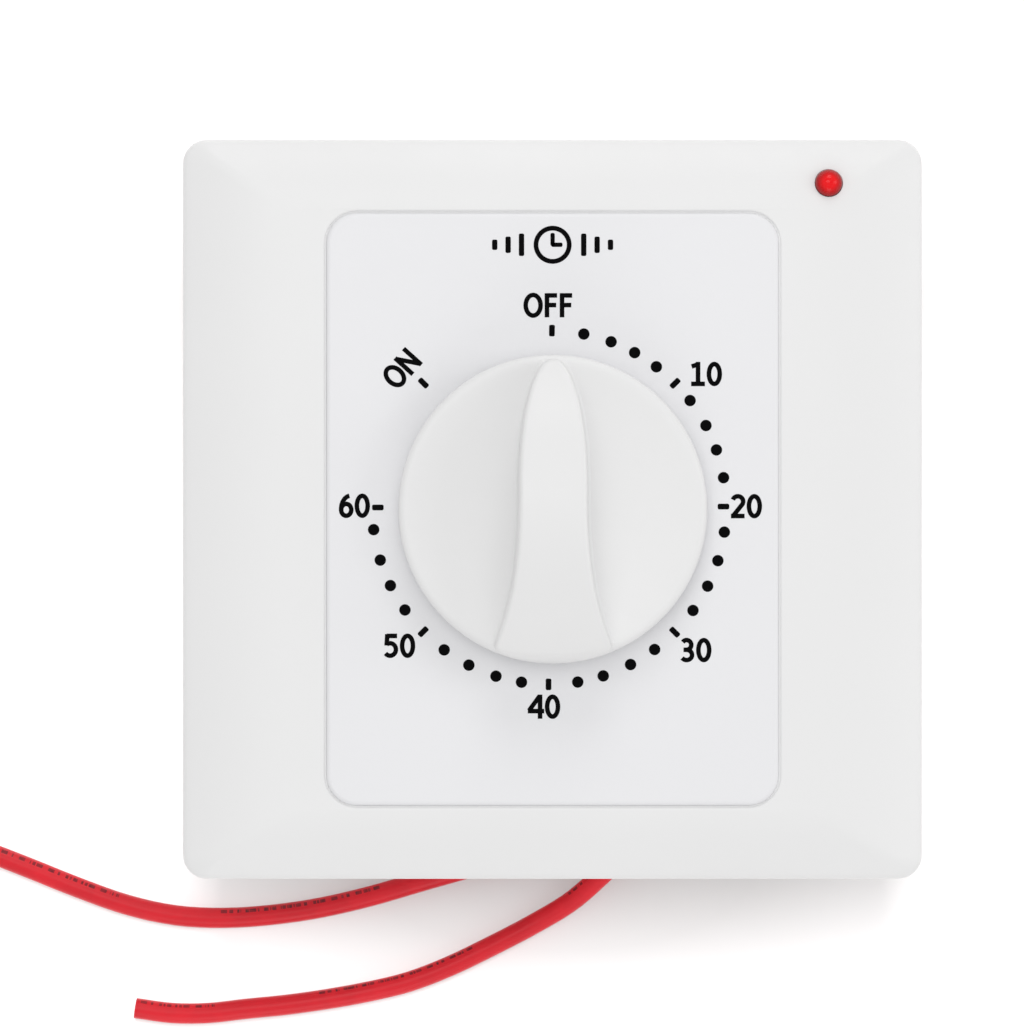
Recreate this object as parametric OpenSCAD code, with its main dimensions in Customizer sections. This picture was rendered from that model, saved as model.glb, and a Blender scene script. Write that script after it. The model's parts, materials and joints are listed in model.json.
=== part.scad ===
// Wall switch with a clockwork countdown timer behind a square plate, lying on its back.
// Millimetres. +Z points out of the front and +Y to the OFF mark at the top of the dial.
// The origin is the middle of the rear cover's back face.

/* [Front plate] */
// Side of the square front plate
plate_side = 86; // [85:0.5:100]
// Corner radius of the plate, seen from the front
plate_corner_r = 2.8; // [2:0.1:6]
// Height of the plate's outer edge above the wall
edge_h = 5.8; // [4.8:0.1:8]
// Rise of the convex border from the outer edge to its crown
border_rise = 2.4; // [1.6:0.1:4]
// Width of the border's slope at the left and right
side_slope = 12.4; // [8:0.1:16]
// Width of the border's slope at the top and bottom
top_slope = 8.2; // [5:0.1:12]
// Wall thickness of the border shell
frame_wall = 2; // [1.5:0.1:2.4]
// Thickness of the upright rim round the panel window
rim_t = 1; // [0.8:0.1:1.6]
// Width of the dial panel
panel_w = 52.4; // [48:0.2:56]
// Height of the dial panel
panel_h = 68.6; // [60:0.2:70]
// Corner radius of the dial panel
panel_corner_r = 3.5; // [2:0.1:6]
// Thickness of the dial panel's front sheet
panel_t = 2; // [1.2:0.1:3]
// How far the dial panel stands above the border
panel_proud = 0.4; // [0.1:0.1:1]
// Gap all round between the panel and the border
seam = 0.15; // [0.1:0.05:0.3]
// Thickness of the panel's skirt
skirt_t = 1.6; // [1:0.1:2.4]
// Diameter of the panel's four pegs
peg_d = 2.8; // [2:0.1:3.6]

/* [Mounting plate] */
// Thickness of the mounting plate
base_t = 3; // [2.6:0.1:3.4]
// Gap between the mounting plate and the border shell
base_gap = 0.4; // [0.2:0.05:0.8]
// Distance between the two wall screws
screw_spacing = 60.3; // [58:0.1:64]
// Width of a wall screw slot
slot_w = 4.5; // [4:0.1:5.5]
// End to end length of a wall screw slot
slot_l = 7.5; // [6:0.1:9]
// Room for a wall screw's head, across
screw_head_room = 9; // [8:0.1:10]
// Width of a snap hook on the border shell
hook_w = 8; // [5:0.5:12]
// Depth of a snap hook
hook_depth = 0.9; // [0.6:0.1:1.4]

/* [Rear box] */
// Width of the rear box
box_w = 50; // [48:0.5:56]
// Height of the rear box
box_h = 56; // [54:0.5:62]
// Wall thickness of the rear box
box_wall = 2; // [1.5:0.1:3]
// Thickness of the rear cover
cover_t = 2.5; // [2:0.1:4]
// Space for the switch between the rear cover and the movement
switch_room = 6.5; // [6:0.1:10]
// Diameter of a screw boss in the rear box
boss_d = 6; // [5:0.1:7]
// Diameter of a box screw
box_screw_d = 2.2; // [1.8:0.1:2.8]
// Length of a box screw under its head
box_screw_l = 9; // [7:0.5:11]
// Diameter of a box screw's head
box_head_d = 4; // [3.4:0.1:4.6]
// Height of a box screw's head
box_head_h = 1.2; // [0.8:0.1:1.4]

/* [Knob] */
// Diameter of the knob
knob_d = 35.5; // [32:0.1:40]
// Height of the knob's round foot
knob_rim_h = 4.2; // [3.6:0.1:5.5]
// Height of the knob's grip at its crest
knob_h = 13.5; // [11:0.1:18]
// Depth of the hollow in the top of the knob's foot
knob_dish = 1; // [0.5:0.1:1.4]
// Radius of the grip's arched crest
crest_r = 28; // [24:0.5:40]
// Gap between the knob and the dial panel
knob_gap = 0.6; // [0.3:0.1:1.2]
// Half width of the grip at its pointer tip
grip_tip = 0.5; // [0.3:0.1:2]
// Half width of the grip at its middle
grip_mid = 4; // [3.9:0.1:5]
// Half width of the grip at its foot end
grip_foot = 7.8; // [5:0.1:9]
// Share of the grip's length, from its foot end, where the pointer begins to taper
grip_waist = 0.6; // [0.5:0.02:0.7]
// Wall of the knob's foot round the hollow under it
knob_wall = 1.8; // [1.2:0.1:2.2]
// Wall of the knob's hub round the shaft
knob_hub_wall = 3; // [2:0.1:4]
// Wall of the grip in front of the shaft's end
knob_cap = 4; // [2:0.1:5]

/* [Winding shaft] */
// Diameter of the winding shaft
shaft_d = 6; // [5.4:0.1:7]
// Diameter of the shaft's rear pivot
pivot_d = 4; // [3:0.1:5]
// Depth of the flat on the shaft's front end
flat_depth = 1; // [0.6:0.1:1.4]
// Radial running clearance of the shaft
shaft_clear = 0.05; // [0.03:0.01:0.1]
// Wall of the shaft's bush
bush_wall = 1.5; // [1:0.1:2]
// Width of the bush's flange outside its body
bush_flange_w = 1.5; // [1:0.1:2.5]
// Thickness of the knob's flat spring
clip_t = 0.3; // [0.2:0.05:0.5]

/* [Movement] */
// Space between the movement plates and the rear box's wall
movement_room = 2; // [1.5:0.1:3]
// Thickness of a movement plate
mplate_t = 1; // [0.8:0.1:1.5]
// Diameter of a pillar
pillar_d = 3.5; // [3:0.1:4.2]
// Diameter of the wheel arbors
arbor_d = 1.5; // [1.2:0.1:1.6]
// Diameter of the arbors' end pivots
tip_pivot_d = 1; // [0.8:0.05:1.1]
// Radial running clearance of the pivots
pivot_clear = 0.05; // [0.03:0.01:0.1]
// Width of the mainspring's strip
spring_w = 4.5; // [3:0.1:7]
// Thickness of the mainspring's strip
spring_t = 0.45; // [0.3:0.05:0.6]
// Turns of the mainspring
spring_turns = 6; // [4:1:8]
// Outer radius of the mainspring
spring_r = 11.2; // [9:0.1:12]

/* [Wheel train] */
// Teeth on the main wheel
main_teeth = 60; // [50:1:66]
// Teeth on the first pinion
main_pinion_teeth = 10; // [8:1:12]
// Teeth on each later wheel
wheel_teeth = 48; // [40:1:54]
// Teeth on each later pinion
pinion_teeth = 8; // [7:1:10]
// Tooth size of the main wheel and the first pinion
main_module = 0.4; // [0.36:0.01:0.44]
// Tooth size of the second wheel and its pinion
second_module = 0.35; // [0.31:0.01:0.39]
// Tooth size of the third wheel and its pinion
third_module = 0.3; // [0.27:0.01:0.34]
// Thickness of the main wheel
main_wheel_t = 1.5; // [0.8:0.1:2.5]
// Thickness of the later wheels
wheel_t = 1; // [0.6:0.1:1.8]
// Direction of the second arbor from the winding shaft
second_angle = 120; // [110:1:130]
// Direction of the third arbor from the second
third_angle = 15; // [5:1:22]
// Direction of the escape arbor from the third
escape_angle = -30; // [-40:1:-22]
// Direction of the verge arbor from the escape arbor
verge_angle = -20; // [-40:1:-10]
// Outer radius of the escape wheel
escape_r = 4.5; // [4:0.1:5]
// Teeth on the escape wheel
escape_teeth = 15; // [11:1:21]
// Length of a verge arm
verge_arm = 3.6; // [3:0.1:4]
// Outer radius of the balance ring
balance_r = 4.8; // [4:0.1:5.2]

/* [Switch] */
// Radius of the cam
cam_r = 5.5; // [4.5:0.1:6]
// Reach of the cam's lobe, which holds the contact open at OFF
lobe_r = 7.3; // [6.8:0.1:7.8]
// Thickness of the cam
cam_t = 2.8; // [2:0.1:3.4]
// Gap between the lobe and the contact leaf
lobe_gap = 0.15; // [0.1:0.05:0.4]
// Gap between the open contacts
contact_gap = 1; // [0.6:0.1:1.4]
// Thickness of the moving contact's leaf
leaf_t = 0.4; // [0.25:0.05:0.6]
// Thickness of the fixed contact's strip
strip_t = 0.8; // [0.5:0.1:1.2]
// Width of the contact strips
strip_w = 3; // [2.4:0.1:3.6]
// Diameter of a contact button
button_d = 2; // [1.5:0.1:2.4]
// Height of a contact button
button_h = 0.6; // [0.4:0.1:0.8]

/* [Indicator] */
// Diameter of the indicator lens
led_d = 3.2; // [2.8:0.1:3.6]
// Distance of the indicator from the plate's right edge
led_inset = 11; // [9:0.1:13]
// How far the lens stands out of the border
led_proud = 1.5; // [1:0.1:2.2]
// Diameter of the indicator's thin wires
thin_lead_d = 0.7; // [0.5:0.1:0.9]
// Length of the resistor
resistor_l = 6.5; // [4:0.1:8]
// Diameter of the resistor
resistor_d = 2; // [1.4:0.1:2.4]

/* [Leads] */
// Diameter of a lead
lead_d = 2.5; // [2:0.1:3.2]
// Sideways place of the first lead's outlet
lead_left_x = 5.5; // [4.5:0.1:6.5]
// Length of a grommet's nose outside the box
nose_l = 3; // [2:0.1:5]

/* [Hidden] */
$fn = 64;

// Small overlap that keeps cuts clean
cut = 1;
// Clearance of a screw in its hole, on the radius
screw_clear = 0.05;
// Clearance of a peg, plate or strip in its seat
seat_clear = 0.05;

// Heights of the pieces inside the movement
bush_flange_t = 1;
bush_gap = 0.1;
spring_lift = 1;
spring_room = 0.5;
main_hub_h = 1;
clutch_h = 1;
collar_h = 0.7;
collar_gap = 0.3;
hub_h = 0.8;
hub_gap = 0.7;
pinion_over = 0.5;
escape_gap = 1;
escape_wheel_t = 0.8;
verge_lift = 0.3;
verge_t = 0.8;

// Levels, counted from the rear cover's back face
back_plate_z = cover_t + switch_room;
movement_z = back_plate_z + mplate_t;
spring_z = movement_z + spring_lift;
main_wheel_z = spring_z + spring_w + spring_room + main_hub_h;
collar_z = main_wheel_z + main_wheel_t + clutch_h;
second_wheel_z = collar_z + collar_h + collar_gap;
third_wheel_z = second_wheel_z + wheel_t + pinion_over + hub_gap + hub_h;
escape_wheel_z = third_wheel_z + wheel_t + pinion_over + escape_gap;
verge_z = escape_wheel_z + escape_wheel_t + verge_lift;
front_plate_z = verge_z + verge_t + bush_gap + bush_flange_t;
plate_gap = front_plate_z - movement_z;
wall_z = front_plate_z + mplate_t;
base_front_z = wall_z + base_t;
crown_z = wall_z + edge_h + border_rise;
panel_top_z = crown_z + panel_proud;
panel_under_z = panel_top_z - panel_t;
knob_z = panel_top_z + knob_gap;
shaft_reach = knob_h - knob_cap;
shaft_top_z = knob_z + shaft_reach;

// Border shell
side_reach = plate_side / 2 - side_slope;
top_reach = plate_side / 2 - top_slope;
side_r = (side_slope * side_slope + border_rise * border_rise) / (2 * border_rise);
top_r = (top_slope * top_slope + border_rise * border_rise) / (2 * border_rise);
inner_side = plate_side - 2 * frame_wall;
inner_corner_r = max(plate_corner_r - frame_wall, 0.2);
window_w = panel_w + 2 * seam;
window_h = panel_h + 2 * seam;
window_r = panel_corner_r + seam;
hook_h = 1;
hook_lift = 0.3;
hook_x = 18;

// Mounting plate
base_side = inner_side - 2 * base_gap;
base_corner_r = inner_corner_r;
hook_room = 0.3;
peg_x = 8;
peg_inset = 3;
peg_y = panel_h / 2 - skirt_t - peg_inset;
peg_floor = 0.5;
peg_seat = base_t - peg_floor;
screw_head_h = 3.2;

// Rear box
box_corner_r = 2;
boss_sink = 1.3;
boss_x = box_w / 2 - box_wall - boss_d / 2 + boss_sink;
boss_y = box_h / 2 - box_wall - boss_d / 2 + boss_sink;
head_room = 0.2;
head_sink = 0.05;
rib_t = 1;
rib_h = 1;
rib_l = 30;

// Movement plates
mplate_w = box_w - 2 * box_wall - 2 * movement_room;
mplate_h = box_h - 2 * box_wall - 2 * movement_room;
boss_gap = 0.6;
boss_notch_r = boss_d / 2 + boss_gap;
pillar_offset = (boss_notch_r + pillar_d / 2) / sqrt(2);
pillar_x = boss_x - pillar_offset;
pillar_y = boss_y - pillar_offset;
pillar_screw_d = 1.6;
pillar_head_d = 3.4;
pillar_head_h = 1.2;
pillar_screw_grip = 5;
pillar_screw_l = mplate_t + pillar_screw_grip;
spigot_d = 2;
timer_screw_d = 2.4;
timer_head_d = 4.4;
timer_head_h = 1.5;
timer_screw_over = 0.5;
timer_screw_l = base_t + mplate_t + timer_screw_over;
timer_screw_places = [[14, -14], [-14, -14], [-14, 14]];

// Winding shaft
bush_d = shaft_d + 2 * shaft_clear + 2 * bush_wall;
bush_flange_d = bush_d + 2 * bush_flange_w;
bush_nose = 0.5;
groove_depth = 0.5;
groove_t = 0.7;
clip_gap = 0.2;
groove_z = base_front_z + bush_nose + clip_gap;
shaft_clip_t = 0.6;
shaft_clip_w = 2;
shaft_clip_d = shaft_d + 2 * shaft_clip_w;
end_play = 0.1;
shoulder_lift = 0.25;

// Wheel train
function polar(r, a) = [r * cos(a), r * sin(a)];
function mesh_span(wheel_count, pinion_count, tooth) = (wheel_count + pinion_count) * tooth / 2;
verge_reach = 1.8;
verge_span = escape_r + verge_reach;
second_at = polar(mesh_span(main_teeth, main_pinion_teeth, main_module), second_angle);
third_at = second_at + polar(mesh_span(wheel_teeth, pinion_teeth, second_module), third_angle);
escape_at = third_at + polar(mesh_span(wheel_teeth, pinion_teeth, third_module), escape_angle);
verge_at = escape_at + polar(verge_span, verge_angle);
arbor_places = [second_at, third_at, escape_at, verge_at];
hub_wall = 0.85;
hub_d = arbor_d + 2 * hub_wall;
main_hub_wall = 2;
main_hub_d = shaft_d + 2 * main_hub_wall;
collar_wall = 1;
collar_d = shaft_d + 2 * collar_wall;
clutch_w = 2.5;
clutch_d = shaft_d + 2 * clutch_w;
clutch_t = 0.3;
tooth_top = 1;
tooth_foot = 1.25;

// Escapement
escape_tooth = 1;
verge_spread = 56;
verge_arm_w = 1.2;
hub_step = 0.1;
verge_hub_wall = 0.65;
verge_hub_d = arbor_d + 2 * verge_hub_wall;
pallet_d = 0.5;
pallet_drop = 0.1;
balance_lift = 2;
balance_z = movement_z + balance_lift;
balance_t = 1.4;
balance_rim = 1.2;
spoke_w = 1.2;

// Mainspring
spring_gap = 0.3;
spring_in_r = shaft_d / 2 + spring_gap + spring_t / 2;
spring_end_angle = 270;
spring_steps = 24;
post_d = 1.6;
post_gap = 0.1;
post_r = spring_r + spring_t / 2 + post_gap + post_d / 2;
post_over = 0.5;
post_h = spring_lift + spring_w + post_over;

// Leads and grommets
box_foot_y = -box_h / 2;
outlet_y = box_foot_y - nose_l;
bore_clear = 0.05;
grommet_wall = 0.6;
grommet_flange_w = 0.75;
grommet_step = 0.3;
grommet_gap = 0.3;
grommet_lift = 0.2;
grommet_flange_d = lead_d + 2 * grommet_wall + 2 * grommet_flange_w;
grommet_flange_t = 1;
grommet_inner_t = 0.8;
lead_right_x = lead_left_x + grommet_flange_d + grommet_gap;
contact_z = cover_t + grommet_flange_d / 2 - grommet_step + grommet_lift;
sleeve_t = 0.45;
sleeve_l = 6;
lead_sides = 8;

// Switch
nose_r = 1.2;
cam_flat = 0.6;
shaft_tail_over = 0.4;
shaft_tail_z = contact_z - cam_t / 2 - shaft_tail_over;
leaf_x = lobe_r + lobe_gap + leaf_t / 2;
leaf_rest_y = 2;
leaf_bend_y = 7;
leaf_lean = 1.6;
leaf_tip_y = 12;
leaf_tip = [leaf_x + leaf_lean, leaf_tip_y];
button_y = 10.3;
strip_x = lead_right_x;
hook_strip_x = leaf_tip[0] - leaf_t / 2 - 2 * button_h - contact_gap - strip_t / 2;
strip_top_y = 14;
strip_over = 0.3;
strip_end_y = button_y - button_d / 2 - strip_over;
tail_w = 2;
tail_over = 0.5;
tail_room = 3;
tail_end_y = -box_h / 2 + box_wall + tail_room;
sleeve_start_y = tail_end_y - sleeve_l / 3;
sleeve_end_y = sleeve_start_y + sleeve_l;
sleeve_room = 1;
tail_start_y = sleeve_end_y + sleeve_room;
base_plate_t = 1.4;
base_left = 2.3;
base_right = 4.5;
base_x0 = lead_left_x - base_left;
base_x1 = strip_x + base_right;
base_y0 = sleeve_end_y;
base_over = 4;
base_y1 = strip_top_y + base_over;
cam_room = 1;
lower_block_l = 6.5;
lower_block_y0 = tail_start_y;
lower_block_y1 = lower_block_y0 + lower_block_l;
upper_block_below = 1.2;
upper_block_above = 1.4;
upper_block_y0 = strip_top_y - upper_block_below;
upper_block_y1 = strip_top_y + upper_block_above;
block_side = 2;
block_gap = 0.1;
block_z = cover_t + block_gap;
contact_screw_d = 2;
contact_head_d = 3.4;
contact_head_h = 1;
contact_screw_short = 0.2;
contact_screw_l = base_plate_t + mplate_t - contact_screw_short;
contact_screw_side = 3;
contact_screw_x = strip_x + contact_screw_side;
contact_screw_y = 8;

// Indicator
led_flange_w = 0.25;
led_flange_d = led_d + 2 * led_flange_w;
led_flange_t = 0.6;
led_floor = 0.4;
holder_wall = 0.25;
holder_d = led_flange_d + 2 * seat_clear + 2 * holder_wall;
holder_h = led_floor + led_flange_t;
holder_gap = 0.2;
led_x = plate_side / 2 - led_inset;
led_y = window_h / 2 + rim_t + holder_gap + holder_d / 2;
leg_d = 0.4;
leg_l = 3.6;
lead_pitch = 2;
thin_lift = 0.05;
thin_lead_z = base_front_z + thin_lead_d / 2 + thin_lift;
thin_gap = 1.45;
thin_turn_x = pillar_x - pillar_head_d / 2 - thin_gap - thin_lead_d / 2 - lead_pitch / 2;
thin_drop_y = box_h / 2 - box_wall - movement_room / 2;
thin_low_z = back_plate_z - base_plate_t / 2;
thin_hole_room = 0.2;
resistor_room = 0.2;
resistor_x = (led_x - leg_l + thin_turn_x) / 2;
notch_w = lead_pitch + thin_lead_d + 1.7;
notch_h = thin_lead_d + 0.7;
function slope_at(d, r) = d > 0 ? r - sqrt(r * r - d * d) : 0;
led_face_z = crown_z - max(slope_at(led_y - top_reach, top_r), slope_at(led_x - side_reach, side_r));

// Routes of the two free leads, from the grommet to the cut end
lead_left_route = [
    [5.5, -31, 5], [4.5, -36.1, 4.5], [1.8, -39.7, 3.7], [-2.1, -41.8, 2.8], [-7, -43.2, 2.1],
    [-12, -44.6, 1.6], [-16.5, -45.9, 1.4], [-22, -47.5, 1.3], [-28, -48.9, 1.3],
    [-34, -49.8, 1.3], [-40, -50.2, 1.3], [-46, -49.9, 1.3], [-52, -48.6, 1.3],
    [-58, -46.5, 1.3], [-64, -44.1, 1.3], [-70, -41.8, 1.3], [-76, -39.8, 1.3], [-82, -38.2, 1.3]
];
lead_right_route = [
    [11, -31, 5], [11, -34, 4.7], [10.3, -38.6, 3.9], [8.1, -42.8, 3], [5.6, -45.5, 2.3],
    [2.2, -48.4, 1.7], [-2.5, -51.2, 1.4], [-7.5, -53.8, 1.3], [-12.5, -56.2, 1.3],
    [-17.5, -58.1, 1.3], [-22.5, -59.3, 1.3], [-27.5, -60.2, 1.3], [-32.5, -60.9, 1.3],
    [-37.5, -61.4, 1.3], [-42, -61.9, 1.3], [-46.5, -61.9, 1.3], [-51, -61.3, 1.3]
];

// Flat shapes

module rounded_rect(w, h, r) {
    square([w - 2 * r, h], center = true);
    square([w, h - 2 * r], center = true);
    for (sx = [-1, 1], sy = [-1, 1])
        translate([sx * (w / 2 - r), sy * (h / 2 - r)])
            circle(r);
}

module slot_shape(w, l) {
    square([l - w, w], center = true);
    for (s = [-1, 1])
        translate([s * (l - w) / 2, 0])
            circle(d = w);
}

// Teeth with straight flanks: share is the tooth's part of the pitch at the foot and the top
function gear_points(teeth, tooth, foot_share, top_share) = [
    for (i = [0 : teeth - 1])
        for (p = [[-1, 0], [-1, 1], [1, 1], [1, 0]])
            polar(
                teeth * tooth / 2 + (p[1] == 1 ? tooth_top : -tooth_foot) * tooth,
                (i + p[0] * (p[1] == 1 ? top_share : foot_share) / 2) * 360 / teeth
            )
];

module wheel_shape(teeth, tooth) {
    polygon(gear_points(teeth, tooth, 0.56, 0.22));
}

module pinion_shape(teeth, tooth) {
    polygon(gear_points(teeth, tooth, 0.42, 0.2));
}

// Outline of a strip of even thickness along straight runs, mitred at its corners
function run_normal(points, i) =
    let (run = points[i + 1] - points[i])
    [-run[1], run[0]] / norm(run);
function strip_normal(points, i) =
    i == 0 ? run_normal(points, 0)
    : i == len(points) - 1 ? run_normal(points, i - 1)
    : let (a = run_normal(points, i - 1), b = run_normal(points, i))
        (a + b) / (1 + a * b);
function strip_side(points, offset) = [
    for (i = [0 : len(points) - 1]) points[i] + offset * strip_normal(points, i)
];
function reversed(list) = [for (i = [len(list) - 1 : -1 : 0]) list[i]];

module strip_shape(points, t) {
    polygon(concat(strip_side(points, -t / 2), reversed(strip_side(points, t / 2))));
}

// Solid helpers

module at_z(z, h) {
    translate([0, 0, z])
        linear_extrude(h)
            children();
}

module each_corner(x, y) {
    for (sx = [-1, 1], sy = [-1, 1])
        translate([sx * x, sy * y, 0])
            children();
}

// A screw whose head's underside is at the origin, with the shank going down
module screw(d, l, head_d, head_h) {
    difference() {
        union() {
            translate([0, 0, -l])
                cylinder(d = d, h = l + head_h / 2);
            cylinder(d = head_d, h = head_h);
        }
        for (a = [0, 90])
            rotate(a)
                translate([-head_d * 0.35, -d * 0.12, head_h * 0.5])
                    cube([head_d * 0.7, d * 0.24, head_h]);
    }
}

function unit(v) = v / norm(v);

// A round cord swept along the points of its route
module cord(route, d) {
    last = len(route) - 1;
    rings = [
        for (i = [0 : last])
            let (
                along = unit(i == 0 ? [0, -1, 0] : route[min(i + 1, last)] - route[i - 1]),
                side = unit(cross(along, [0, 0, 1])),
                up = cross(side, along)
            )
            for (k = [0 : lead_sides - 1])
                let (a = (k + 0.5) * 360 / lead_sides)
                route[i] + d / 2 * (cos(a) * side + sin(a) * up)
    ];
    walls = [
        for (i = [0 : last - 1])
            for (k = [0 : lead_sides - 1])
                let (next = (k + 1) % lead_sides, a = i * lead_sides, b = a + lead_sides)
                [a + k, a + next, b + next, b + k]
    ];
    first_cap = [for (k = [lead_sides - 1 : -1 : 0]) k];
    last_cap = [for (k = [0 : lead_sides - 1]) last * lead_sides + k];
    polyhedron(rings, concat([first_cap], walls, [last_cap]), convexity = 8);
}

// Front plate

module slope_profile(reach, crown_r, lower) {
    translate([-reach, wall_z - cut])
        square([2 * reach, crown_z - lower - wall_z + cut]);
    for (s = [-1, 1])
        intersection() {
            translate([s * reach, crown_z - crown_r])
                circle(crown_r - lower, $fn = 360);
            translate([s > 0 ? reach : -plate_side, wall_z - cut])
                square([plate_side - reach, 2 * edge_h + border_rise]);
        }
}

// What lies under the four convex slopes, or under their inner face
module under_slopes(lower) {
    intersection() {
        rotate([90, 0, 0])
            linear_extrude(2 * plate_side, center = true)
                slope_profile(side_reach, side_r, lower);
        rotate([90, 0, 90])
            linear_extrude(2 * plate_side, center = true)
                slope_profile(top_reach, top_r, lower);
    }
}

module lead_notch(y, depth) {
    translate([thin_turn_x - notch_w / 2, y, base_front_z - cut])
        cube([notch_w, depth, notch_h + cut]);
}

// Room in front of the mounting plate for the heads of the wall screws
module wall_screw_room() {
    for (s = [-1, 1])
        translate([s * screw_spacing / 2, 0, 0])
            at_z(base_front_z - cut, screw_head_h + cut)
                slot_shape(screw_head_room, screw_head_room + slot_l - slot_w);
}

// Room in front of the mounting plate for the heads of the box screws
module box_screw_room() {
    each_corner(boss_x, boss_y)
        translate([0, 0, base_front_z - cut])
            cylinder(d = box_head_d + 2 * head_room, h = box_head_h + head_room + cut);
}

module outer_frame() {
    color("#f4f4f4") {
        difference() {
            intersection() {
                at_z(wall_z, edge_h + border_rise + cut)
                    rounded_rect(plate_side, plate_side, plate_corner_r);
                under_slopes(0);
            }
            difference() {
                intersection() {
                    at_z(wall_z - cut, edge_h + border_rise + cut)
                        rounded_rect(inner_side, inner_side, inner_corner_r);
                    under_slopes(frame_wall);
                }
                at_z(base_front_z, edge_h + border_rise)
                    rounded_rect(window_w + 2 * rim_t, window_h + 2 * rim_t, window_r + rim_t);
            }
            at_z(wall_z - cut, edge_h + border_rise + 2 * cut)
                rounded_rect(window_w, window_h, window_r);
            translate([led_x, led_y, wall_z])
                cylinder(d = led_d + 2 * seat_clear, h = edge_h + border_rise + cut);
            lead_notch(window_h / 2 - cut, rim_t + 2 * cut);
            wall_screw_room();
            box_screw_room();
        }
        for (sx = [-1, 1], s = [0, 180])
            rotate(s)
                translate([sx * hook_x - hook_w / 2, inner_side / 2 - hook_depth, wall_z + hook_lift])
                    cube([hook_w, hook_depth, hook_h]);
    }
}

module dial_panel() {
    color("#f2f2f4")
        difference() {
            union() {
                at_z(panel_under_z, panel_t)
                    rounded_rect(panel_w, panel_h, panel_corner_r);
                at_z(base_front_z, panel_under_z - base_front_z)
                    difference() {
                        rounded_rect(panel_w, panel_h, panel_corner_r);
                        rounded_rect(
                            panel_w - 2 * skirt_t, panel_h - 2 * skirt_t,
                            max(panel_corner_r - skirt_t, 0.3)
                        );
                    }
                each_corner(peg_x, peg_y)
                    translate([0, 0, base_front_z - peg_seat])
                        cylinder(d = peg_d, h = panel_under_z - base_front_z + peg_seat);
            }
            translate([0, 0, panel_under_z - cut])
                cylinder(d = shaft_d + 1, h = panel_t + 2 * cut);
            lead_notch(panel_h / 2 - skirt_t - cut, skirt_t + 2 * cut);
            wall_screw_room();
            box_screw_room();
        }
}

module mounting_plate() {
    color("#e2e2e2")
        difference() {
            at_z(wall_z, base_t)
                rounded_rect(base_side, base_side, base_corner_r);
            at_z(wall_z - cut, base_t + 2 * cut)
                for (s = [-1, 1])
                    translate([s * screw_spacing / 2, 0])
                        slot_shape(slot_w, slot_l);
            translate([0, 0, wall_z - cut])
                cylinder(d = bush_d + 2 * seat_clear, h = base_t + 2 * cut);
            for (p = timer_screw_places)
                translate([p[0], p[1], wall_z - cut])
                    cylinder(d = timer_screw_d + 4 * screw_clear, h = base_t + 2 * cut);
            each_corner(boss_x, boss_y)
                translate([0, 0, wall_z - cut])
                    cylinder(d = box_screw_d + 4 * screw_clear, h = base_t + 2 * cut);
            each_corner(peg_x, peg_y)
                translate([0, 0, wall_z - cut])
                    cylinder(d = peg_d + 2 * seat_clear, h = base_t + 2 * cut);
            for (s = [-1, 1])
                translate([thin_turn_x + s * lead_pitch / 2, thin_drop_y, wall_z - cut])
                    cylinder(d = thin_lead_d + 2 * thin_hole_room, h = base_t + 2 * cut);
            translate([
                resistor_x - resistor_l / 2 - resistor_room,
                led_y - lead_pitch / 2 - resistor_d / 2 - resistor_room,
                thin_lead_z - resistor_d / 2 - thin_lift
            ])
                cube([resistor_l + 2 * resistor_room, resistor_d + 2 * resistor_room, base_t]);
            for (sx = [-1, 1], s = [0, 180])
                rotate(s)
                    translate([
                        sx * hook_x - hook_w / 2 - hook_room, inner_side / 2 - hook_depth - hook_room,
                        wall_z - cut
                    ])
                        cube([
                            hook_w + 2 * hook_room, hook_depth + base_gap + 2 * cut,
                            hook_lift + hook_h + hook_room + cut
                        ]);
        }
}

// Rear box

module lead_axis(x) {
    translate([x, box_foot_y, contact_z])
        rotate([90, 0, 0])
            children();
}

module rear_housing() {
    color("#e8e8e6")
        difference() {
            union() {
                at_z(cover_t, wall_z - cover_t)
                    difference() {
                        rounded_rect(box_w, box_h, box_corner_r);
                        square([box_w - 2 * box_wall, box_h - 2 * box_wall], center = true);
                    }
                intersection() {
                    each_corner(boss_x, boss_y)
                        translate([0, 0, cover_t])
                            cylinder(d = boss_d, h = wall_z - cover_t);
                    at_z(cover_t, wall_z - cover_t)
                        rounded_rect(box_w, box_h, box_corner_r);
                }
            }
            each_corner(boss_x, boss_y) {
                translate([0, 0, wall_z - box_screw_l])
                    cylinder(d = box_screw_d + 2 * screw_clear, h = box_screw_l + cut);
                translate([0, 0, cover_t - cut])
                    cylinder(d = box_screw_d + 2 * screw_clear, h = box_screw_l + cut);
            }
            for (x = [lead_left_x, lead_right_x])
                lead_axis(x)
                    translate([0, 0, -box_wall - cut])
                        cylinder(d = lead_d + 2 * grommet_wall + 2 * seat_clear, h = box_wall + 2 * cut);
        }
}

module rear_cover() {
    color("#dededc") {
        difference() {
            at_z(0, cover_t)
                rounded_rect(box_w, box_h, box_corner_r);
            each_corner(boss_x, boss_y) {
                translate([0, 0, -cut])
                    cylinder(d = box_screw_d + 4 * screw_clear, h = cover_t + 2 * cut);
                translate([0, 0, -cut])
                    cylinder(d = box_head_d + 2 * head_room, h = box_head_h + head_sink + cut);
            }
        }
        for (s = [0, 180])
            rotate(s)
                translate([box_w / 2 - box_wall - seat_clear - rib_t, -rib_l / 2, cover_t])
                    cube([rib_t, rib_l, rib_h]);
    }
}

module cover_screws() {
    color("#b8babd")
        each_corner(boss_x, boss_y)
            translate([0, 0, box_head_h + head_sink])
                mirror([0, 0, 1])
                    screw(box_screw_d, box_screw_l, box_head_d, box_head_h);
}

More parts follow.
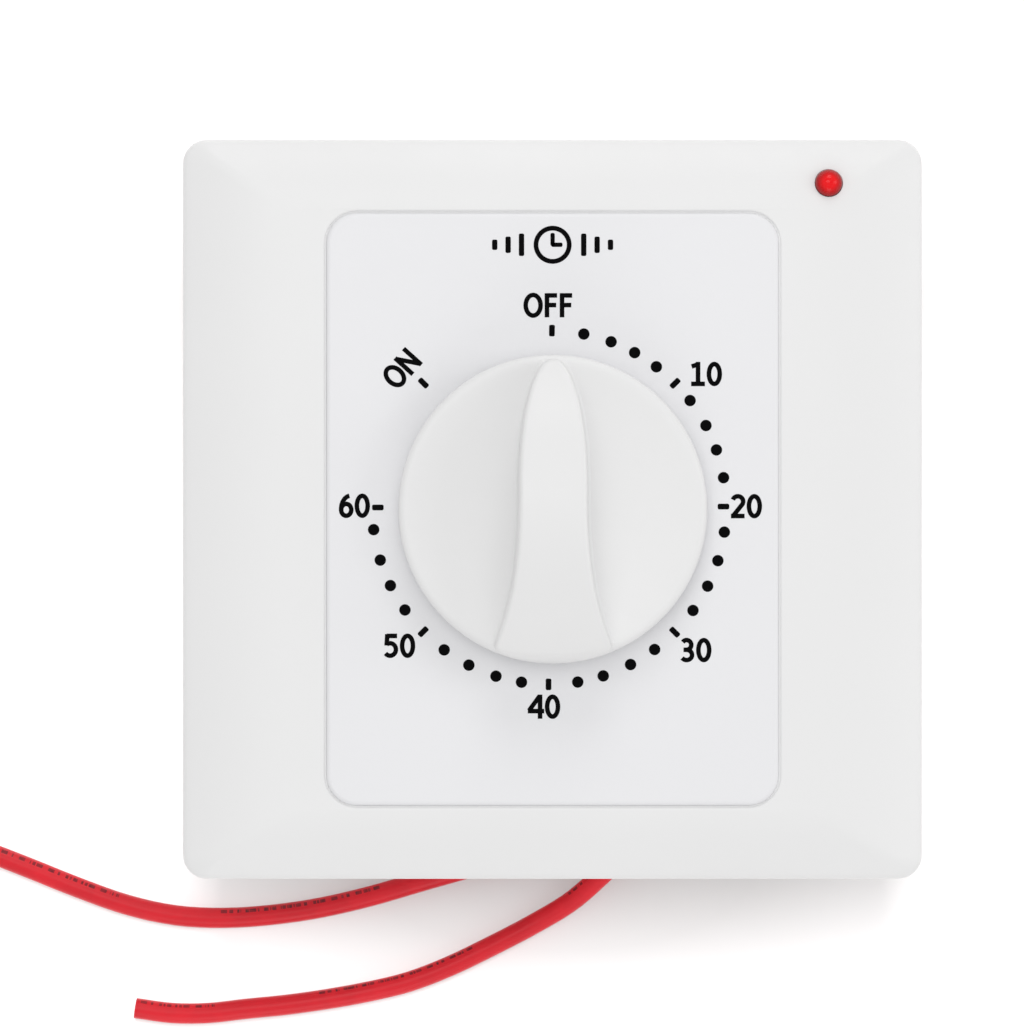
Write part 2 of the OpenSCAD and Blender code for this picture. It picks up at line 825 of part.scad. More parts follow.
module housing_screws() {
    color("#b8babd")
        each_corner(boss_x, boss_y)
            translate([0, 0, base_front_z])
                screw(box_screw_d, box_screw_l, box_head_d, box_head_h);
}

// Movement plates and pillars

module movement_plate_shape() {
    difference() {
        square([mplate_w, mplate_h], center = true);
        for (sx = [-1, 1], sy = [-1, 1])
            translate([sx * boss_x, sy * boss_y])
                circle(boss_notch_r);
    }
}

module pivot_holes(z) {
    for (p = arbor_places)
        translate([p[0], p[1], z - cut])
            cylinder(d = tip_pivot_d + 2 * pivot_clear, h = mplate_t + 2 * cut);
}

module front_plate() {
    color("#c9cbce")
        difference() {
            at_z(front_plate_z, mplate_t)
                movement_plate_shape();
            translate([0, 0, front_plate_z - cut])
                cylinder(d = bush_d + 2 * seat_clear, h = mplate_t + 2 * cut);
            pivot_holes(front_plate_z);
            each_corner(pillar_x, pillar_y)
                translate([0, 0, front_plate_z - cut])
                    cylinder(d = spigot_d + 2 * seat_clear, h = mplate_t + 2 * cut);
            for (p = timer_screw_places)
                translate([p[0], p[1], front_plate_z - cut])
                    cylinder(d = timer_screw_d + 2 * screw_clear, h = mplate_t + 2 * cut);
        }
}

module back_plate() {
    color("#c9cbce")
        difference() {
            at_z(back_plate_z, mplate_t)
                movement_plate_shape();
            translate([0, 0, back_plate_z - cut])
                cylinder(d = pivot_d + 2 * shaft_clear, h = mplate_t + 2 * cut);
            pivot_holes(back_plate_z);
            each_corner(pillar_x, pillar_y)
                translate([0, 0, back_plate_z - cut])
                    cylinder(d = pillar_screw_d + 4 * screw_clear, h = mplate_t + 2 * cut);
            each_contact_screw()
                translate([0, 0, back_plate_z - cut])
                    cylinder(d = contact_screw_d + 2 * screw_clear, h = mplate_t + 2 * cut);
        }
}

module pillars() {
    color("#d6b35a")
        each_corner(pillar_x, pillar_y)
            difference() {
                union() {
                    translate([0, 0, movement_z])
                        cylinder(d = pillar_d, h = plate_gap);
                    translate([0, 0, front_plate_z])
                        cylinder(d = spigot_d, h = mplate_t);
                }
                translate([0, 0, movement_z - cut])
                    cylinder(d = pillar_screw_d + 2 * screw_clear, h = pillar_screw_l + cut);
            }
}

module pillar_screws() {
    color("#b8babd")
        each_corner(pillar_x, pillar_y)
            translate([0, 0, back_plate_z])
                mirror([0, 0, 1])
                    screw(pillar_screw_d, pillar_screw_l, pillar_head_d, pillar_head_h);
}

module timer_screws() {
    color("#b8babd")
        for (p = timer_screw_places)
            translate([p[0], p[1], base_front_z])
                screw(timer_screw_d, timer_screw_l, timer_head_d, timer_head_h);
}

module shaft_bush() {
    color("#d6b35a")
        difference() {
            union() {
                translate([0, 0, front_plate_z - bush_flange_t])
                    cylinder(d = bush_flange_d, h = bush_flange_t);
                translate([0, 0, front_plate_z])
                    cylinder(d = bush_d, h = mplate_t + base_t + bush_nose);
            }
            translate([0, 0, front_plate_z - bush_flange_t - cut])
                cylinder(
                    d = shaft_d + 2 * shaft_clear,
                    h = bush_flange_t + mplate_t + base_t + bush_nose + 2 * cut
                );
        }
}

// Winding shaft and what turns with it

module winding_shaft() {
    color("#b8babd")
        difference() {
            union() {
                translate([0, 0, movement_z + shoulder_lift])
                    cylinder(d = shaft_d, h = shaft_top_z - movement_z - shoulder_lift);
                translate([0, 0, shaft_tail_z])
                    cylinder(d = pivot_d, h = movement_z + shoulder_lift - shaft_tail_z);
                translate([0, 0, collar_z])
                    cylinder(d = collar_d, h = collar_h);
            }
            translate([0, 0, groove_z])
                difference() {
                    cylinder(d = shaft_d + cut, h = groove_t);
                    translate([0, 0, -cut])
                        cylinder(d = shaft_d - 2 * groove_depth, h = groove_t + 2 * cut);
                }
            translate([-shaft_d, -shaft_d - shaft_d / 2 + flat_depth, panel_top_z])
                cube([2 * shaft_d, shaft_d, shaft_reach + knob_gap + cut]);
            translate([-pivot_d, -pivot_d - pivot_d / 2 + cam_flat, shaft_tail_z - cut])
                cube([2 * pivot_d, pivot_d, shaft_tail_over + cam_t + cut]);
        }
}

module shaft_clip() {
    color("#8f9296")
        translate([0, 0, groove_z + (groove_t - shaft_clip_t) / 2])
            linear_extrude(shaft_clip_t)
                difference() {
                    circle(d = shaft_clip_d);
                    circle(d = shaft_d - 2 * groove_depth + 2 * seat_clear);
                    translate([-(shaft_d - 2 * groove_depth) / 2 - seat_clear, -shaft_clip_d])
                        square([shaft_d - 2 * groove_depth + 2 * seat_clear, shaft_clip_d]);
                }
}

// Spiral strip from the shaft out to its post
function spiral_r(turn, side) =
    spring_in_r + (spring_r - spring_in_r) * turn / spring_turns + side * spring_t / 2;
function spiral_side(side) = [
    for (i = [0 : spring_turns * spring_steps])
        polar(spiral_r(i / spring_steps, side), spring_end_angle + (i / spring_steps - spring_turns) * 360)
];

module mainspring() {
    color("#6f7680")
        at_z(spring_z, spring_w)
            polygon(concat(spiral_side(1), reversed(spiral_side(-1))));
}

module spring_post() {
    post_at = polar(post_r, spring_end_angle);
    color("#b8babd")
        translate([post_at[0], post_at[1], movement_z])
            cylinder(d = post_d, h = post_h);
}

module main_wheel() {
    color("#d6b35a")
        difference() {
            union() {
                translate([0, 0, main_wheel_z])
                    linear_extrude(main_wheel_t)
                        rotate(second_angle)
                            wheel_shape(main_teeth, main_module);
                translate([0, 0, main_wheel_z - main_hub_h])
                    cylinder(d = main_hub_d, h = main_hub_h);
            }
            translate([0, 0, main_wheel_z - main_hub_h - cut])
                cylinder(d = shaft_d + 2 * seat_clear, h = main_hub_h + main_wheel_t + 2 * cut);
            for (a = [0 : 60 : 300])
                rotate(a)
                    translate([main_teeth * main_module / 3, 0, main_wheel_z - cut])
                        cylinder(d = main_teeth * main_module / 6, h = main_wheel_t + 2 * cut);
        }
}

module clutch_spring() {
    color("#8f9296")
        translate([0, 0, main_wheel_z + main_wheel_t])
            rotate_extrude()
                polygon([
                    [shaft_d / 2 + seat_clear, clutch_h - clutch_t], [shaft_d / 2 + seat_clear, clutch_h],
                    [clutch_d / 2, clutch_t], [clutch_d / 2, 0]
                ]);
}

module switch_cam() {
    lobe_at = lobe_r - nose_r;
    color("#2f2f33")
        translate([0, 0, contact_z - cam_t / 2])
            linear_extrude(cam_t)
                difference() {
                    union() {
                        circle(cam_r);
                        translate([lobe_at, 0])
                            circle(nose_r);
                        polygon([[0, -cam_r / 2], [lobe_at, -nose_r], [lobe_at, nose_r], [0, cam_r / 2]]);
                    }
                    difference() {
                        circle(d = pivot_d + 2 * seat_clear);
                        translate([-pivot_d, -pivot_d - pivot_d / 2 + cam_flat - seat_clear])
                            square([2 * pivot_d, pivot_d]);
                    }
                }
}

// Wheel train

module arbor(place, d) {
    translate([place[0], place[1], 0]) {
        translate([0, 0, movement_z + end_play])
            cylinder(d = d, h = plate_gap - 2 * end_play);
        translate([0, 0, back_plate_z])
            cylinder(d = tip_pivot_d, h = plate_gap + 2 * mplate_t - end_play);
    }
}

module pinion_on(place, count, tooth, z, h, toward) {
    arbor(place, arbor_d);
    translate([place[0], place[1], z])
        linear_extrude(h)
            rotate(toward + 180 + 180 / count)
                pinion_shape(count, tooth);
}

module wheel_on(place, tooth, z, toward) {
    translate([place[0], place[1], 0])
        difference() {
            union() {
                translate([0, 0, z])
                    linear_extrude(wheel_t)
                        rotate(toward)
                            wheel_shape(wheel_teeth, tooth);
                translate([0, 0, z - hub_h])
                    cylinder(d = hub_d, h = hub_h);
            }
            translate([0, 0, z - hub_h - cut])
                cylinder(d = arbor_d + 2 * seat_clear, h = hub_h + wheel_t + 2 * cut);
            for (a = [0 : 72 : 288])
                rotate(a)
                    translate([wheel_teeth * tooth * 0.3, 0, z - cut])
                        cylinder(d = wheel_teeth * tooth * 0.2, h = wheel_t + 2 * cut);
        }
}

module second_pinion() {
    color("#b8babd")
        pinion_on(
            second_at, main_pinion_teeth, main_module,
            main_wheel_z - pinion_over, main_wheel_t + 2 * pinion_over, second_angle
        );
}

module second_wheel() {
    color("#d6b35a")
        wheel_on(second_at, second_module, second_wheel_z, third_angle);
}

module third_pinion() {
    color("#b8babd")
        pinion_on(
            third_at, pinion_teeth, second_module,
            second_wheel_z - pinion_over, wheel_t + 2 * pinion_over, third_angle
        );
}

module third_wheel() {
    color("#d6b35a")
        wheel_on(third_at, third_module, third_wheel_z, escape_angle);
}

module escape_pinion() {
    color("#b8babd")
        pinion_on(
            escape_at, pinion_teeth, third_module,
            third_wheel_z - pinion_over, wheel_t + 2 * pinion_over, escape_angle
        );
}

module escape_wheel() {
    color("#d6b35a")
        translate([escape_at[0], escape_at[1], escape_wheel_z])
            linear_extrude(escape_wheel_t)
                difference() {
                    polygon([
                        for (i = [0 : escape_teeth - 1])
                            for (p = [[escape_r - escape_tooth, 0], [escape_r, 0.7]])
                                polar(p[0], (i + p[1]) * 360 / escape_teeth)
                    ]);
                    circle(d = arbor_d + 2 * seat_clear);
                }
}

module verge() {
    color("#b8babd") {
        arbor(verge_at, arbor_d);
        translate([verge_at[0], verge_at[1], 0]) {
            translate([0, 0, verge_z])
                cylinder(d = verge_hub_d, h = verge_t);
            for (s = [-1, 1])
                rotate(verge_angle + 180 + s * verge_spread) {
                    at_z(verge_z + hub_step, verge_t - 2 * hub_step) {
                        polygon([
                            [0, -verge_arm_w * 0.7], [verge_arm, -verge_arm_w * 0.4],
                            [verge_arm, verge_arm_w * 0.4], [0, verge_arm_w * 0.7]
                        ]);
                        translate([verge_arm, 0])
                            circle(d = verge_arm_w);
                    }
                    translate([verge_arm, 0, escape_wheel_z - pallet_drop])
                        cylinder(d = pallet_d, h = escape_wheel_t + pallet_drop + verge_lift + verge_t / 2);
                }
        }
    }
}

module balance_ring() {
    color("#d6b35a")
        translate([verge_at[0], verge_at[1], balance_z])
            linear_extrude(balance_t)
                difference() {
                    union() {
                        difference() {
                            circle(balance_r);
                            circle(balance_r - balance_rim);
                        }
                        square([2 * balance_r - balance_rim, spoke_w], center = true);
                        circle(d = verge_hub_d);
                    }
                    circle(d = arbor_d + 2 * seat_clear);
                }
}

// Switch

leaf_route = [
    [lead_left_x, tail_start_y], [lead_left_x, lower_block_y1], [leaf_x, -leaf_rest_y],
    [leaf_x, leaf_rest_y], [leaf_tip[0], leaf_bend_y], leaf_tip
];
strip_route = [
    [strip_x, tail_start_y], [strip_x, strip_top_y], [hook_strip_x, strip_top_y], [hook_strip_x, strip_end_y]
];

module contact_tail(x, t) {
    translate([x - t / 2, tail_end_y, contact_z - tail_w / 2])
        cube([t, tail_start_y - tail_end_y + tail_over, tail_w]);
}

module moving_contact() {
    color("#c98b4a") {
        at_z(contact_z - strip_w / 2, strip_w)
            strip_shape(leaf_route, leaf_t);
        contact_tail(lead_left_x, leaf_t);
        translate([leaf_tip[0] - leaf_t / 2, button_y, contact_z])
            rotate([0, -90, 0])
                cylinder(d = button_d, h = button_h);
    }
}

module fixed_contact() {
    color("#d6b35a") {
        at_z(contact_z - strip_w / 2, strip_w)
            strip_shape(strip_route, strip_t);
        contact_tail(strip_x, strip_t);
        translate([hook_strip_x + strip_t / 2, button_y, contact_z])
            rotate([0, 90, 0])
                cylinder(d = button_d, h = button_h);
    }
}

module each_contact_screw() {
    for (sy = [-1, 1])
        translate([contact_screw_x, sy * contact_screw_y, 0])
            children();
}

module contact_base() {
    plate_z = back_plate_z - base_plate_t;
    color("#4a3328")
        difference() {
            union() {
                translate([base_x0, base_y0, plate_z])
                    cube([base_x1 - base_x0, base_y1 - base_y0, base_plate_t]);
                translate([base_x0, lower_block_y0, block_z])
                    cube([
                        strip_x + block_side - base_x0, lower_block_y1 - lower_block_y0,
                        plate_z - block_z
                    ]);
                translate([hook_strip_x + strip_t, upper_block_y0, block_z])
                    cube([
                        strip_x + block_side - hook_strip_x - strip_t, upper_block_y1 - upper_block_y0,
                        plate_z - block_z
                    ]);
            }
            translate([0, 0, block_z - cut])
                cylinder(r = lobe_r + cam_room, h = back_plate_z - block_z + 2 * cut);
            translate([0, 0, block_z - cut])
                linear_extrude(contact_z + strip_w / 2 + seat_clear - block_z + cut) {
                    strip_shape(leaf_route, leaf_t + 2 * seat_clear);
                    strip_shape(strip_route, strip_t + 2 * seat_clear);
                }
            each_contact_screw()
                translate([0, 0, plate_z - cut])
                    cylinder(d = contact_screw_d + 4 * screw_clear, h = base_plate_t + 2 * cut);
        }
}

module contact_screws() {
    color("#b8babd")
        each_contact_screw()
            translate([0, 0, back_plate_z - base_plate_t])
                mirror([0, 0, 1])
                    screw(contact_screw_d, contact_screw_l, contact_head_d, contact_head_h);
}

// Leads

module inner_leads() {
    color("#c8323c")
        for (x = [lead_left_x, lead_right_x])
            translate([x, tail_end_y, contact_z])
                rotate([90, 0, 0])
                    cylinder(d = lead_d, h = tail_end_y - outlet_y);
}

module terminal_sleeves() {
    sleeve_d = lead_d + 2 * bore_clear;
    color("#3a3a3d")
        for (x = [lead_left_x, lead_right_x])
            translate([x, sleeve_start_y, contact_z])
                rotate([-90, 0, 0])
                    difference() {
                        cylinder(d = sleeve_d + 2 * sleeve_t, h = sleeve_l);
                        translate([0, 0, -cut])
                            cylinder(d = sleeve_d, h = sleeve_l + 2 * cut);
                    }
}

module wire_grommets() {
    bore_r = lead_d / 2 + bore_clear;
    neck_r = lead_d / 2 + grommet_wall;
    flange_r = grommet_flange_d / 2;
    color("#2b2b2d")
        for (x = [lead_left_x, lead_right_x])
            lead_axis(x)
                rotate_extrude()
                    polygon([
                        [bore_r, -box_wall - grommet_inner_t],
                        [flange_r - grommet_step, -box_wall - grommet_inner_t],
                        [flange_r - grommet_step, -box_wall], [neck_r, -box_wall], [neck_r, 0], [flange_r, 0],
                        [flange_r, grommet_flange_t], [neck_r + grommet_step, grommet_flange_t],
                        [bore_r + grommet_wall / 2, nose_l], [bore_r, nose_l]
                    ]);
}

module lead_left() {
    color("#c8323c")
        cord(lead_left_route, lead_d);
}

module lead_right() {
    color("#c8323c")
        cord(lead_right_route, lead_d);
}

// Indicator

module led() {
    flange_z = base_front_z + led_floor;
    dome_z = led_face_z + led_proud - led_d / 2;
    color("#e32128")
        translate([led_x, led_y, 0]) {
            translate([0, 0, flange_z])
                cylinder(d = led_flange_d, h = led_flange_t);
            translate([0, 0, flange_z])
                cylinder(d = led_d, h = dome_z - flange_z);
            translate([0, 0, dome_z])
                sphere(d = led_d);
            for (s = [-1, 1])
                translate([0, s * lead_pitch / 2, flange_z])
                    rotate([0, -90, 0])
                        cylinder(d = leg_d, h = leg_l);
        }
}

module led_holder() {
    flange_z = base_front_z + led_floor;
    color("#e2e2e2")
        translate([led_x, led_y, 0])
            difference() {
                translate([0, 0, base_front_z])
                    cylinder(d = holder_d, h = holder_h);
                translate([0, 0, flange_z])
                    cylinder(d = led_flange_d + 2 * seat_clear, h = holder_h);
                translate([0, 0, base_front_z - cut])
                    cylinder(d = led_d, h = holder_h + 2 * cut);
                translate([-holder_d, -lead_pitch / 2 - leg_d, base_front_z - cut])
                    cube([holder_d, lead_pitch + 2 * leg_d, holder_h + 2 * cut]);
            }
}

module thin_run(points) {
    for (i = [0 : len(points) - 2]) {
        run = points[i + 1] - points[i];
        translate(points[i])
            rotate([0, acos(run[2] / norm(run)), atan2(run[1], run[0])])
                cylinder(d = thin_lead_d, h = norm(run));
    }
    for (i = [1 : len(points) - 2])
        translate(points[i])
            sphere(d = thin_lead_d);
}

module led_leads() {
    start_x = led_x - leg_l;
    color("#c8323c")
        for (s = [-1, 1]) {
            y = led_y + s * lead_pitch / 2;
            x = thin_turn_x - s * lead_pitch / 2;
            rest = [
                [x, y, thin_lead_z], [x, thin_drop_y, thin_lead_z], [x, thin_drop_y, thin_low_z],
                [x, base_y1, thin_low_z]
            ];
            if (s > 0)
                thin_run(concat([[start_x, y, thin_lead_z]], rest));
            else {
                thin_run([[start_x, y, thin_lead_z], [resistor_x + resistor_l / 2, y, thin_lead_z]]);
                thin_run(concat([[resistor_x - resistor_l / 2, y, thin_lead_z]], rest));
            }
        }
}

module led_resistor() {
    color("#c9b18a")
        translate([resistor_x - resistor_l / 2, led_y - lead_pitch / 2, thin_lead_z])
            rotate([0, 90, 0])
                cylinder(d = resistor_d, h = resistor_l);
}

// Knob

// Half width of the grip along its length, from the foot end at 0 to the tip at 1
function grip_half(u) =
    u < grip_waist
        ? grip_mid + (grip_foot - grip_mid) * pow(1 - u / grip_waist, grip_flare)
        : grip_tip + (grip_mid - grip_tip) * sqrt(1 - pow((u - grip_waist) / (1 - grip_waist), 2));
grip_flare = 2.8;
grip_steps = 28;
tip_inset = 0.75;

module grip_shape() {
    foot_y = -knob_d / 2;
    tip_y = knob_d / 2 - tip_inset;
    side = [
        for (i = [0 : grip_steps])
            let (u = sin(90 * i / grip_steps))
            [grip_half(u), foot_y + (tip_y - foot_y) * u]
    ];
    polygon(concat(side, reversed([for (p = side) [-p[0], p[1]]])));
}

module knob() {
    dish_edge = knob_d / 2 - 1.2;
    dish_r = (dish_edge * dish_edge + knob_dish * knob_dish) / (2 * knob_dish);
    edge_r = 0.8;
    flat_y = -shaft_d / 2 + flat_depth - clip_t - seat_clear;
    color("#f0f0f0")
        difference() {
            union() {
                difference() {
                    rotate_extrude()
                        union() {
                            square([knob_d / 2 - edge_r, knob_z + knob_rim_h]);
                            square([knob_d / 2, knob_z + knob_rim_h - edge_r]);
                            translate([knob_d / 2 - edge_r, knob_z + knob_rim_h - edge_r])
                                circle(edge_r);
                        }
                    translate([0, 0, knob_z + knob_rim_h - knob_dish + dish_r])
                        sphere(dish_r, $fn = 200);
                }
                intersection() {
                    at_z(knob_z, knob_h)
                        grip_shape();
                    translate([0, 0, knob_z + knob_h - crest_r])
                        rotate([0, 90, 0])
                            cylinder(r = crest_r, h = knob_d, center = true, $fn = 200);
                    cylinder(d = knob_d, h = knob_z + knob_h + cut);
                }
            }
            translate([0, 0, -cut])
                cylinder(d = knob_d + cut, h = knob_z + cut);
            translate([0, 0, knob_z - cut])
                difference() {
                    cylinder(d = knob_d - 2 * knob_wall, h = knob_rim_h - knob_dish - knob_wall + cut);
                    cylinder(d = shaft_d + 2 * knob_hub_wall, h = knob_rim_h);
                }
            difference() {
                translate([0, 0, knob_z - cut])
                    cylinder(d = shaft_d + 2 * seat_clear, h = shaft_reach + cut + seat_clear);
                translate([-shaft_d, flat_y - shaft_d, knob_z - 2 * cut])
                    cube([2 * shaft_d, shaft_d, shaft_reach + 4 * cut]);
            }
        }
}

module knob_clip() {
    flat_y = -shaft_d / 2 + flat_depth - clip_t;
    half = sqrt(pow(shaft_d / 2, 2) - pow(shaft_d / 2 - flat_depth + clip_t, 2)) - seat_clear;
    color("#8f9296")
        translate([-half, flat_y, knob_z + 0.5])
            cube([2 * half, clip_t, shaft_reach - 1]);
}

outer_frame();
dial_panel();
mounting_plate();
rear_housing();
rear_cover();
cover_screws();
housing_screws();
front_plate();
back_plate();
pillars();
pillar_screws();
timer_screws();
shaft_bush();
winding_shaft();
shaft_clip();
mainspring();
spring_post();
main_wheel();
clutch_spring();
second_pinion();
second_wheel();
third_pinion();
third_wheel();
escape_pinion();
escape_wheel();
verge();
balance_ring();
switch_cam();
contact_base();
contact_screws();
moving_contact();
fixed_contact();
terminal_sleeves();
inner_leads();
wire_grommets();
lead_left();
lead_right();
led();
led_holder();
led_resistor();
led_leads();
knob();
knob_clip();
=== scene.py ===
"""Dresses the countdown timer wall switch: plate, dial, knob, lamp, leads and rear box."""

import json
import math

import bmesh
import bpy
from bpy.props import FloatProperty, FloatVectorProperty, PointerProperty
from mathutils import Matrix, Vector


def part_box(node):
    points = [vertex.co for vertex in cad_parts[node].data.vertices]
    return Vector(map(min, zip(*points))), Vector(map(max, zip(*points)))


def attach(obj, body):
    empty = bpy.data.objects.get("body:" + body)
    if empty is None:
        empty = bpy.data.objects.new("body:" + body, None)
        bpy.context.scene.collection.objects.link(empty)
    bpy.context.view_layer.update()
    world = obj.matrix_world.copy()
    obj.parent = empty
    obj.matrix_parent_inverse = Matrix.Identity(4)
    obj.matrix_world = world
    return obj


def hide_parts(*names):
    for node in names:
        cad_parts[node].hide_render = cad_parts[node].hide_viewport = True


bl_info = {
    "name": "Timer Wall Switch",
    "version": (1, 0, 0),
    "blender": (4, 5, 0),
    "location": "View3D > Sidebar > Timer Switch",
    "description": "Dresses a countdown timer wall switch on its packed frame",
    "category": "Object",
}

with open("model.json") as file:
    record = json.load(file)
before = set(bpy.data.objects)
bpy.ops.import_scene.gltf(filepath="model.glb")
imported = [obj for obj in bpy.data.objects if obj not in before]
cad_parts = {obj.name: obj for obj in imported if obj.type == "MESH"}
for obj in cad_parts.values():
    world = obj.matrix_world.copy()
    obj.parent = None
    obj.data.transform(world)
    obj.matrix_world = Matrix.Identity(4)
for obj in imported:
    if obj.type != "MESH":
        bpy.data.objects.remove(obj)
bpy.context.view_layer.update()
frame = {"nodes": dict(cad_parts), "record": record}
SLOT_OF = {p["node"]: p["material_slot"] for p in frame["record"]["subparts"]}
MM = 0.001

# Prefix that keeps the names of these finishes apart from the frame's materials
LOOK = "look_"

# Points nearer to each other than this become one
MERGE = 0.002 * MM

# Places nearer to each other than this count as the same
NEAR = 0.01 * MM

# How far level loops are drawn apart while they are bridged
APART = (0, 0, 0.3)

# Values that a noise texture mostly stays between
NOISE_SPAN = (0.3, 0.7)

# Sockets of a Mix node that mixes colours
MIX_SHARE, MIX_FIRST, MIX_SECOND, MIX_RESULT = 0, 6, 7, 2

# The photograph's frame in pixels, and its camera: the sensor in millimetres, the rest in metres
PHOTO_W, PHOTO_H = 1024, 1030
PIXELS_PER_MM = 8.59
SENSOR = 36
VIEW_DISTANCE = 0.6
VIEW_LEVEL = 0.035
VIEW_CENTRE = (-0.0047, -0.00067)

# Lamps: name, place and side in metres, and power in watts; the one that lights only the floor is longer
LAMPS = (
    ("top_light", (0.06, 0.75, 0.6), 0.45, 1.5),
    ("right_light", (0.8, 0.08, 0.62), 0.4, 0.95),
    ("low_fill", (0.0, -0.8, 0.46), 0.5, 1.05),
    ("front_light", (-0.12, 0.2, 0.97), 0.4, 1.1),
)
FLOOR_LAMP = ("floor_light", (-0.005, 0.23, 1.0), 0.24, 12.8, 0.5)

# Strength of the sky's light on the switch; the sky itself shows white
SKY_LEVEL = 0.655

# The floor: half its side, its colour, and its lift, which rises between two distances and two levels
FLOOR_HALF = 3
FLOOR_COLOUR = (0.5, 0.485, 0.485, 1)
FLOOR_LIFT = (0.15, 0.9, 0.222, 0.72)

# The plate's shadow on the floor: its middle, its half widths and how much painted light lightens the floor
# round its ends; that grows and fades between these distances from the middle, counted in half widths
SHADE_CENTRE = (1.2 * MM, -44.4 * MM, 0)
SHADE_REACH = (43 * MM, 18 * MM, 1)
SHADOW_END_PAINTED_LIGHT = 0.13
SHADE_GROWS = (0.55, 1.0)
SHADE_FADES = (2.5, 4.0)

# Middle of the printed ring, a little off the shaft as on the real print
DIAL_CENTRE = (-0.4 * MM, 0.2 * MM)

# The dial's marks: name, middle in millimetres, turn in degrees and where each character stands
PAIR = (-0.92, 0.92)
MARKS = (
    ("mark_off", -0.55, 23.6, 0, (-1.66, 0.36, 2.06)),
    ("mark_10", 17.77, 15.65, 0, PAIR),
    ("mark_20", 22.4, 0.35, 0, PAIR),
    ("mark_30", 16.55, -16.3, 0, PAIR),
    ("mark_40", -0.95, -22.85, 0, PAIR),
    ("mark_50", -17.73, -15.8, 0, PAIR),
    ("mark_60", -22.97, 0.4, 0, PAIR),
    ("mark_on", -17.48, 16.25, 48, (-1.12, 1.12)),
)

# Where the ring's dots and ticks are printed: degrees clockwise from the top, and for a tick how much
# nearer to the middle it lies, in millimetres
DOT_TURNS = (
    11.3, 20.5, 28.9, 37.3, 52.8, 62.4, 71, 80.3, 98, 107.5, 116.4, 125.6,
    143.4, 152.6, 162.2, 170.7, 189, 197.5, 207, 216.4, 234.6, 243.8, 252.7, 262.8,
)
TICKS = ((0.9, 0), (45.4, 0), (89.7, 0.3), (134.8, 0), (180.2, 0), (225.4, 0), (270, 0.65), (314.7, 0))

# The indicator lens: radius of its dome, radius and height of its flange, and radius of the border's hole
LENS_R = 1.6 * MM
FLANGE_R = 1.85 * MM
FLANGE_H = 0.6 * MM
LENS_HOLE_R = 1.64 * MM

# Routes of the free leads in millimetres, from the grommet to the cut end
LEAD_LEFT = (
    (5.5, -31, 5), (4.5, -36.1, 4.5), (1.8, -39.7, 3.7), (-2.1, -41.8, 2.8), (-7, -43.2, 2.1),
    (-12, -44.6, 1.6), (-16.5, -45.9, 1.4), (-22, -47.5, 1.3), (-28, -48.9, 1.3),
    (-34, -49.8, 1.3), (-40, -50.2, 1.3), (-46, -49.9, 1.3), (-52, -48.6, 1.3),
    (-58, -46.5, 1.3), (-64, -44.1, 1.3), (-70, -41.8, 1.3), (-76, -39.8, 1.3), (-82, -38.2, 1.3),
)
LEAD_RIGHT = (
    (11, -31, 5), (11, -34, 4.7), (10.3, -38.6, 3.9), (8.1, -42.8, 3), (5.6, -45.5, 2.3),
    (2.2, -48.4, 1.7), (-2.5, -51.2, 1.4), (-7.5, -53.8, 1.3), (-12.5, -56.2, 1.3),
    (-17.5, -58.1, 1.3), (-22.5, -59.3, 1.3), (-27.5, -60.2, 1.3), (-32.5, -60.9, 1.3),
    (-37.5, -61.4, 1.3), (-42, -61.9, 1.3), (-46.5, -61.9, 1.3), (-51, -61.3, 1.3),
)

# The leads: node, route, length in metres and how far the printed row is turned from the top, in degrees
LEADS = (("lead_left", LEAD_LEFT, 0.0973, 42), ("lead_right", LEAD_RIGHT, 0.0767, 52))

# Sides of a lead's round section, and the colour of its print
LEAD_SIDES = 20
LEAD_PRINT = (0.05, 0.01, 0.016, 1)

# The copper strands at a cut end: colour, radius, length, distance apart and how deep their middle lies
COPPER = (0.72, 0.35, 0.2)
STRAND_R = 0.2 * MM
STRAND_L = 1.2 * MM
STRAND_PITCH = 0.41 * MM
STRAND_SUNK = 0.55 * MM

# The resistor's colour bands: place along its body and colour, and half the width of a band
BANDS = (
    (0.2, (0.35, 0.1, 0.02, 1)), (0.38, (0.01, 0.01, 0.01, 1)),
    (0.56, (0.6, 0.03, 0.02, 1)), (0.82, (0.5, 0.34, 0.08, 1)),
)
BAND_HALF = 0.35 * MM

# The rear pieces whose edges are softened, with the radius of their corners
REAR_CORNERS = (("mounting_plate", 0.8 * MM), ("rear_housing", 2 * MM), ("rear_cover", 2 * MM))


def size(name, text, default):
    """A length that a user would change, in metres."""
    return FloatProperty(
        name=name, description=text, default=default, min=0, subtype="DISTANCE", unit="LENGTH",
    )


def colour(name, text, r, g, b):
    """A surface colour, written as it is seen on a screen."""
    def linear(v):
        v /= 255
        return v / 12.92 if v <= 0.04045 else ((v + 0.055) / 1.055) ** 2.4

    return FloatVectorProperty(
        name=name, description=text, default=(linear(r), linear(g), linear(b)),
        min=0, max=1, size=3, subtype="COLOR",
    )


